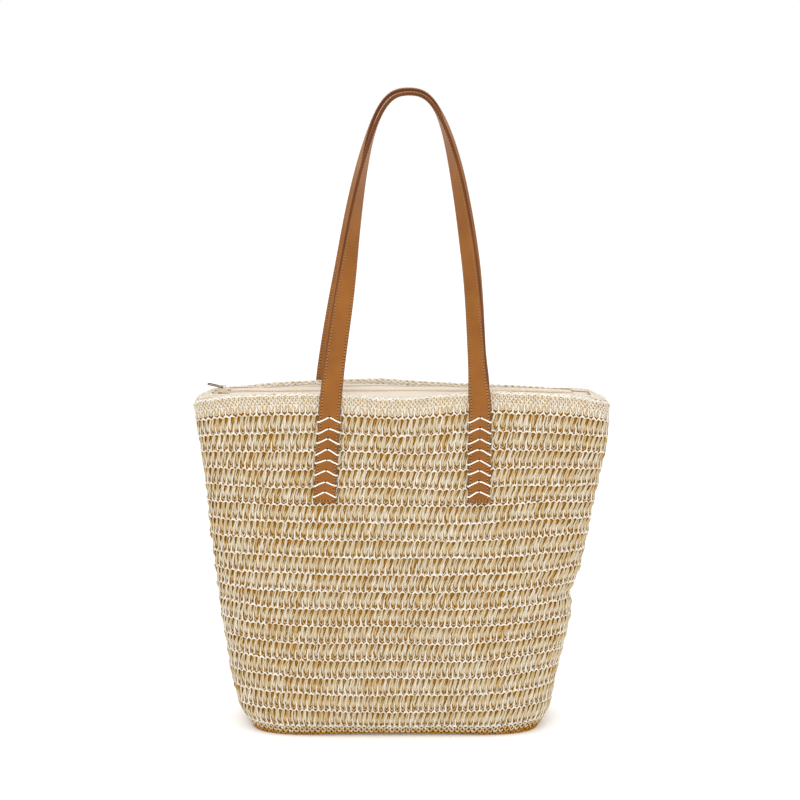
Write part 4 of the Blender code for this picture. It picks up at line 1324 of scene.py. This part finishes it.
def build_lining():
    """The cloth bag inside, with soft creases, and its bottom."""
    u = np.linspace(0, 1, 360, endpoint=False)
    low, high = (corner[2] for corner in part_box("lining_wall"))
    v = np.linspace(low + 0.0006, high, 90)
    uu, vv = np.meshgrid(u, v)
    crease = 0.5 + 0.5 * ripple(uu, vv, 81, 10, 24, 6.0)
    fade = smoothstep((high - vv) / 0.03) * smoothstep((vv - low) / 0.01)
    inset = 0.0043 + 0.0012 * np.clip(crease, 0, 1.4) * fade
    points, _ = wall_point(uu, vv, -inset)
    part = grid(points, np.zeros_like(points), close_u=True)
    obj = piece("lining_wall_cloth", [part], [LINING], nodes=("lining_wall",))
    solid_sheet(obj, 0.0006)
    edge = points[0] + np.array((0.0, 0.0, -0.0004))
    share = np.linspace(1.0, 0.0, 24)[:, None, None]
    disc = edge[None] * np.concatenate((share, share, np.ones_like(share)), axis=2)
    crease = 0.0003 * ripple(disc[..., 0] * 3, disc[..., 1], 83, 9, 9, 30.0)
    disc[..., 2] = disc[..., 2] + crease * np.sin(math.pi * share[..., 0])
    part = grid(disc[:-1], np.zeros_like(disc[:-1]), close_u=True)
    obj = piece("lining_base_cloth", [part], [LINING], nodes=("lining_base",))
    solid_sheet(obj, 0.0006)


for side, sign in (("front", -1), ("back", 1)):
    build_facing(side, sign)
    build_flap(side, sign)
for name, sign in (("zip_end_left", -1), ("zip_end_right", 1)):
    build_zip_end(name, sign)
build_lining()

for name in ("zip_slider", "zip_pull", "zip_stop_left", "zip_stop_right"):
    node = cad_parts[name]
    material = METAL if name == "zip_pull" else PAINT
    if not node.material_slots:
        node.data.materials.append(material)
    for slot in node.material_slots:
        slot.material = material
    if name != "zip_pull":
        soften = node.modifiers.new("worn_edges", "BEVEL")
        soften.width = 0.00018
        soften.segments = 2


# Studio


def build_studio():
    scene = bpy.context.scene
    scene.view_settings.view_transform = "Standard"
    world = bpy.data.worlds.new("studio")
    world.use_nodes = True
    world.node_tree.nodes["Background"].inputs["Color"].default_value = (1.0, 1.0, 1.0, 1.0)
    world.node_tree.nodes["Background"].inputs["Strength"].default_value = 1.0
    scene.world = world
    mesh = bpy.data.meshes.new("floor")
    mesh.from_pydata([(-9, -9, 0), (9, -9, 0), (9, 9, 0), (-9, 9, 0)], [], [(0, 1, 2, 3)])
    floor = bpy.data.objects.new("floor", mesh)
    paper = Nodes("white_paper", 0.9, specular=0.1)
    paper.shader.inputs["Base Color"].default_value = (0.95, 0.95, 0.95, 1.0)
    paper.shader.inputs["Emission Color"].default_value = (1.0, 1.0, 1.0, 1.0)
    paper.shader.inputs["Emission Strength"].default_value = 0.16
    mesh.materials.append(paper.material)
    scene.collection.objects.link(floor)
    for name, place, size, power in (
        ("key", (-0.4, -2.5, 2.2), 1.4, 20.0),
        ("fill", (1.6, -1.9, 1.2), 1.6, 3.0),
        ("top", (0.0, 0.3, 2.6), 2.0, 12.0),
    ):
        light = bpy.data.lights.new(name, "AREA")
        light.energy = power
        light.size = size
        obj = bpy.data.objects.new(name, light)
        obj.location = place
        aim = np.array((0.0, 0.0, 0.30)) - np.array(place)
        tilt = math.atan2(math.hypot(aim[0], aim[1]), -aim[2])
        obj.rotation_euler = (tilt, 0.0, math.atan2(aim[1], aim[0]) - math.pi / 2)
        scene.collection.objects.link(obj)


def build_camera():
    """At the front, a little above the handles, looking slightly down."""
    data = bpy.data.cameras.new("camera")
    data.lens = 99.5
    data.sensor_width = 36.0
    data.clip_end = 50.0
    camera = bpy.data.objects.new("camera", data)
    camera.location = (-0.0012, -2.200, 0.7054)
    camera.rotation_euler = (math.radians(90.0 - 9.61), 0.0, 0.0)
    bpy.context.scene.collection.objects.link(camera)
    bpy.context.scene.camera = camera


build_studio()
build_camera()

bpy.context.view_layer.update()
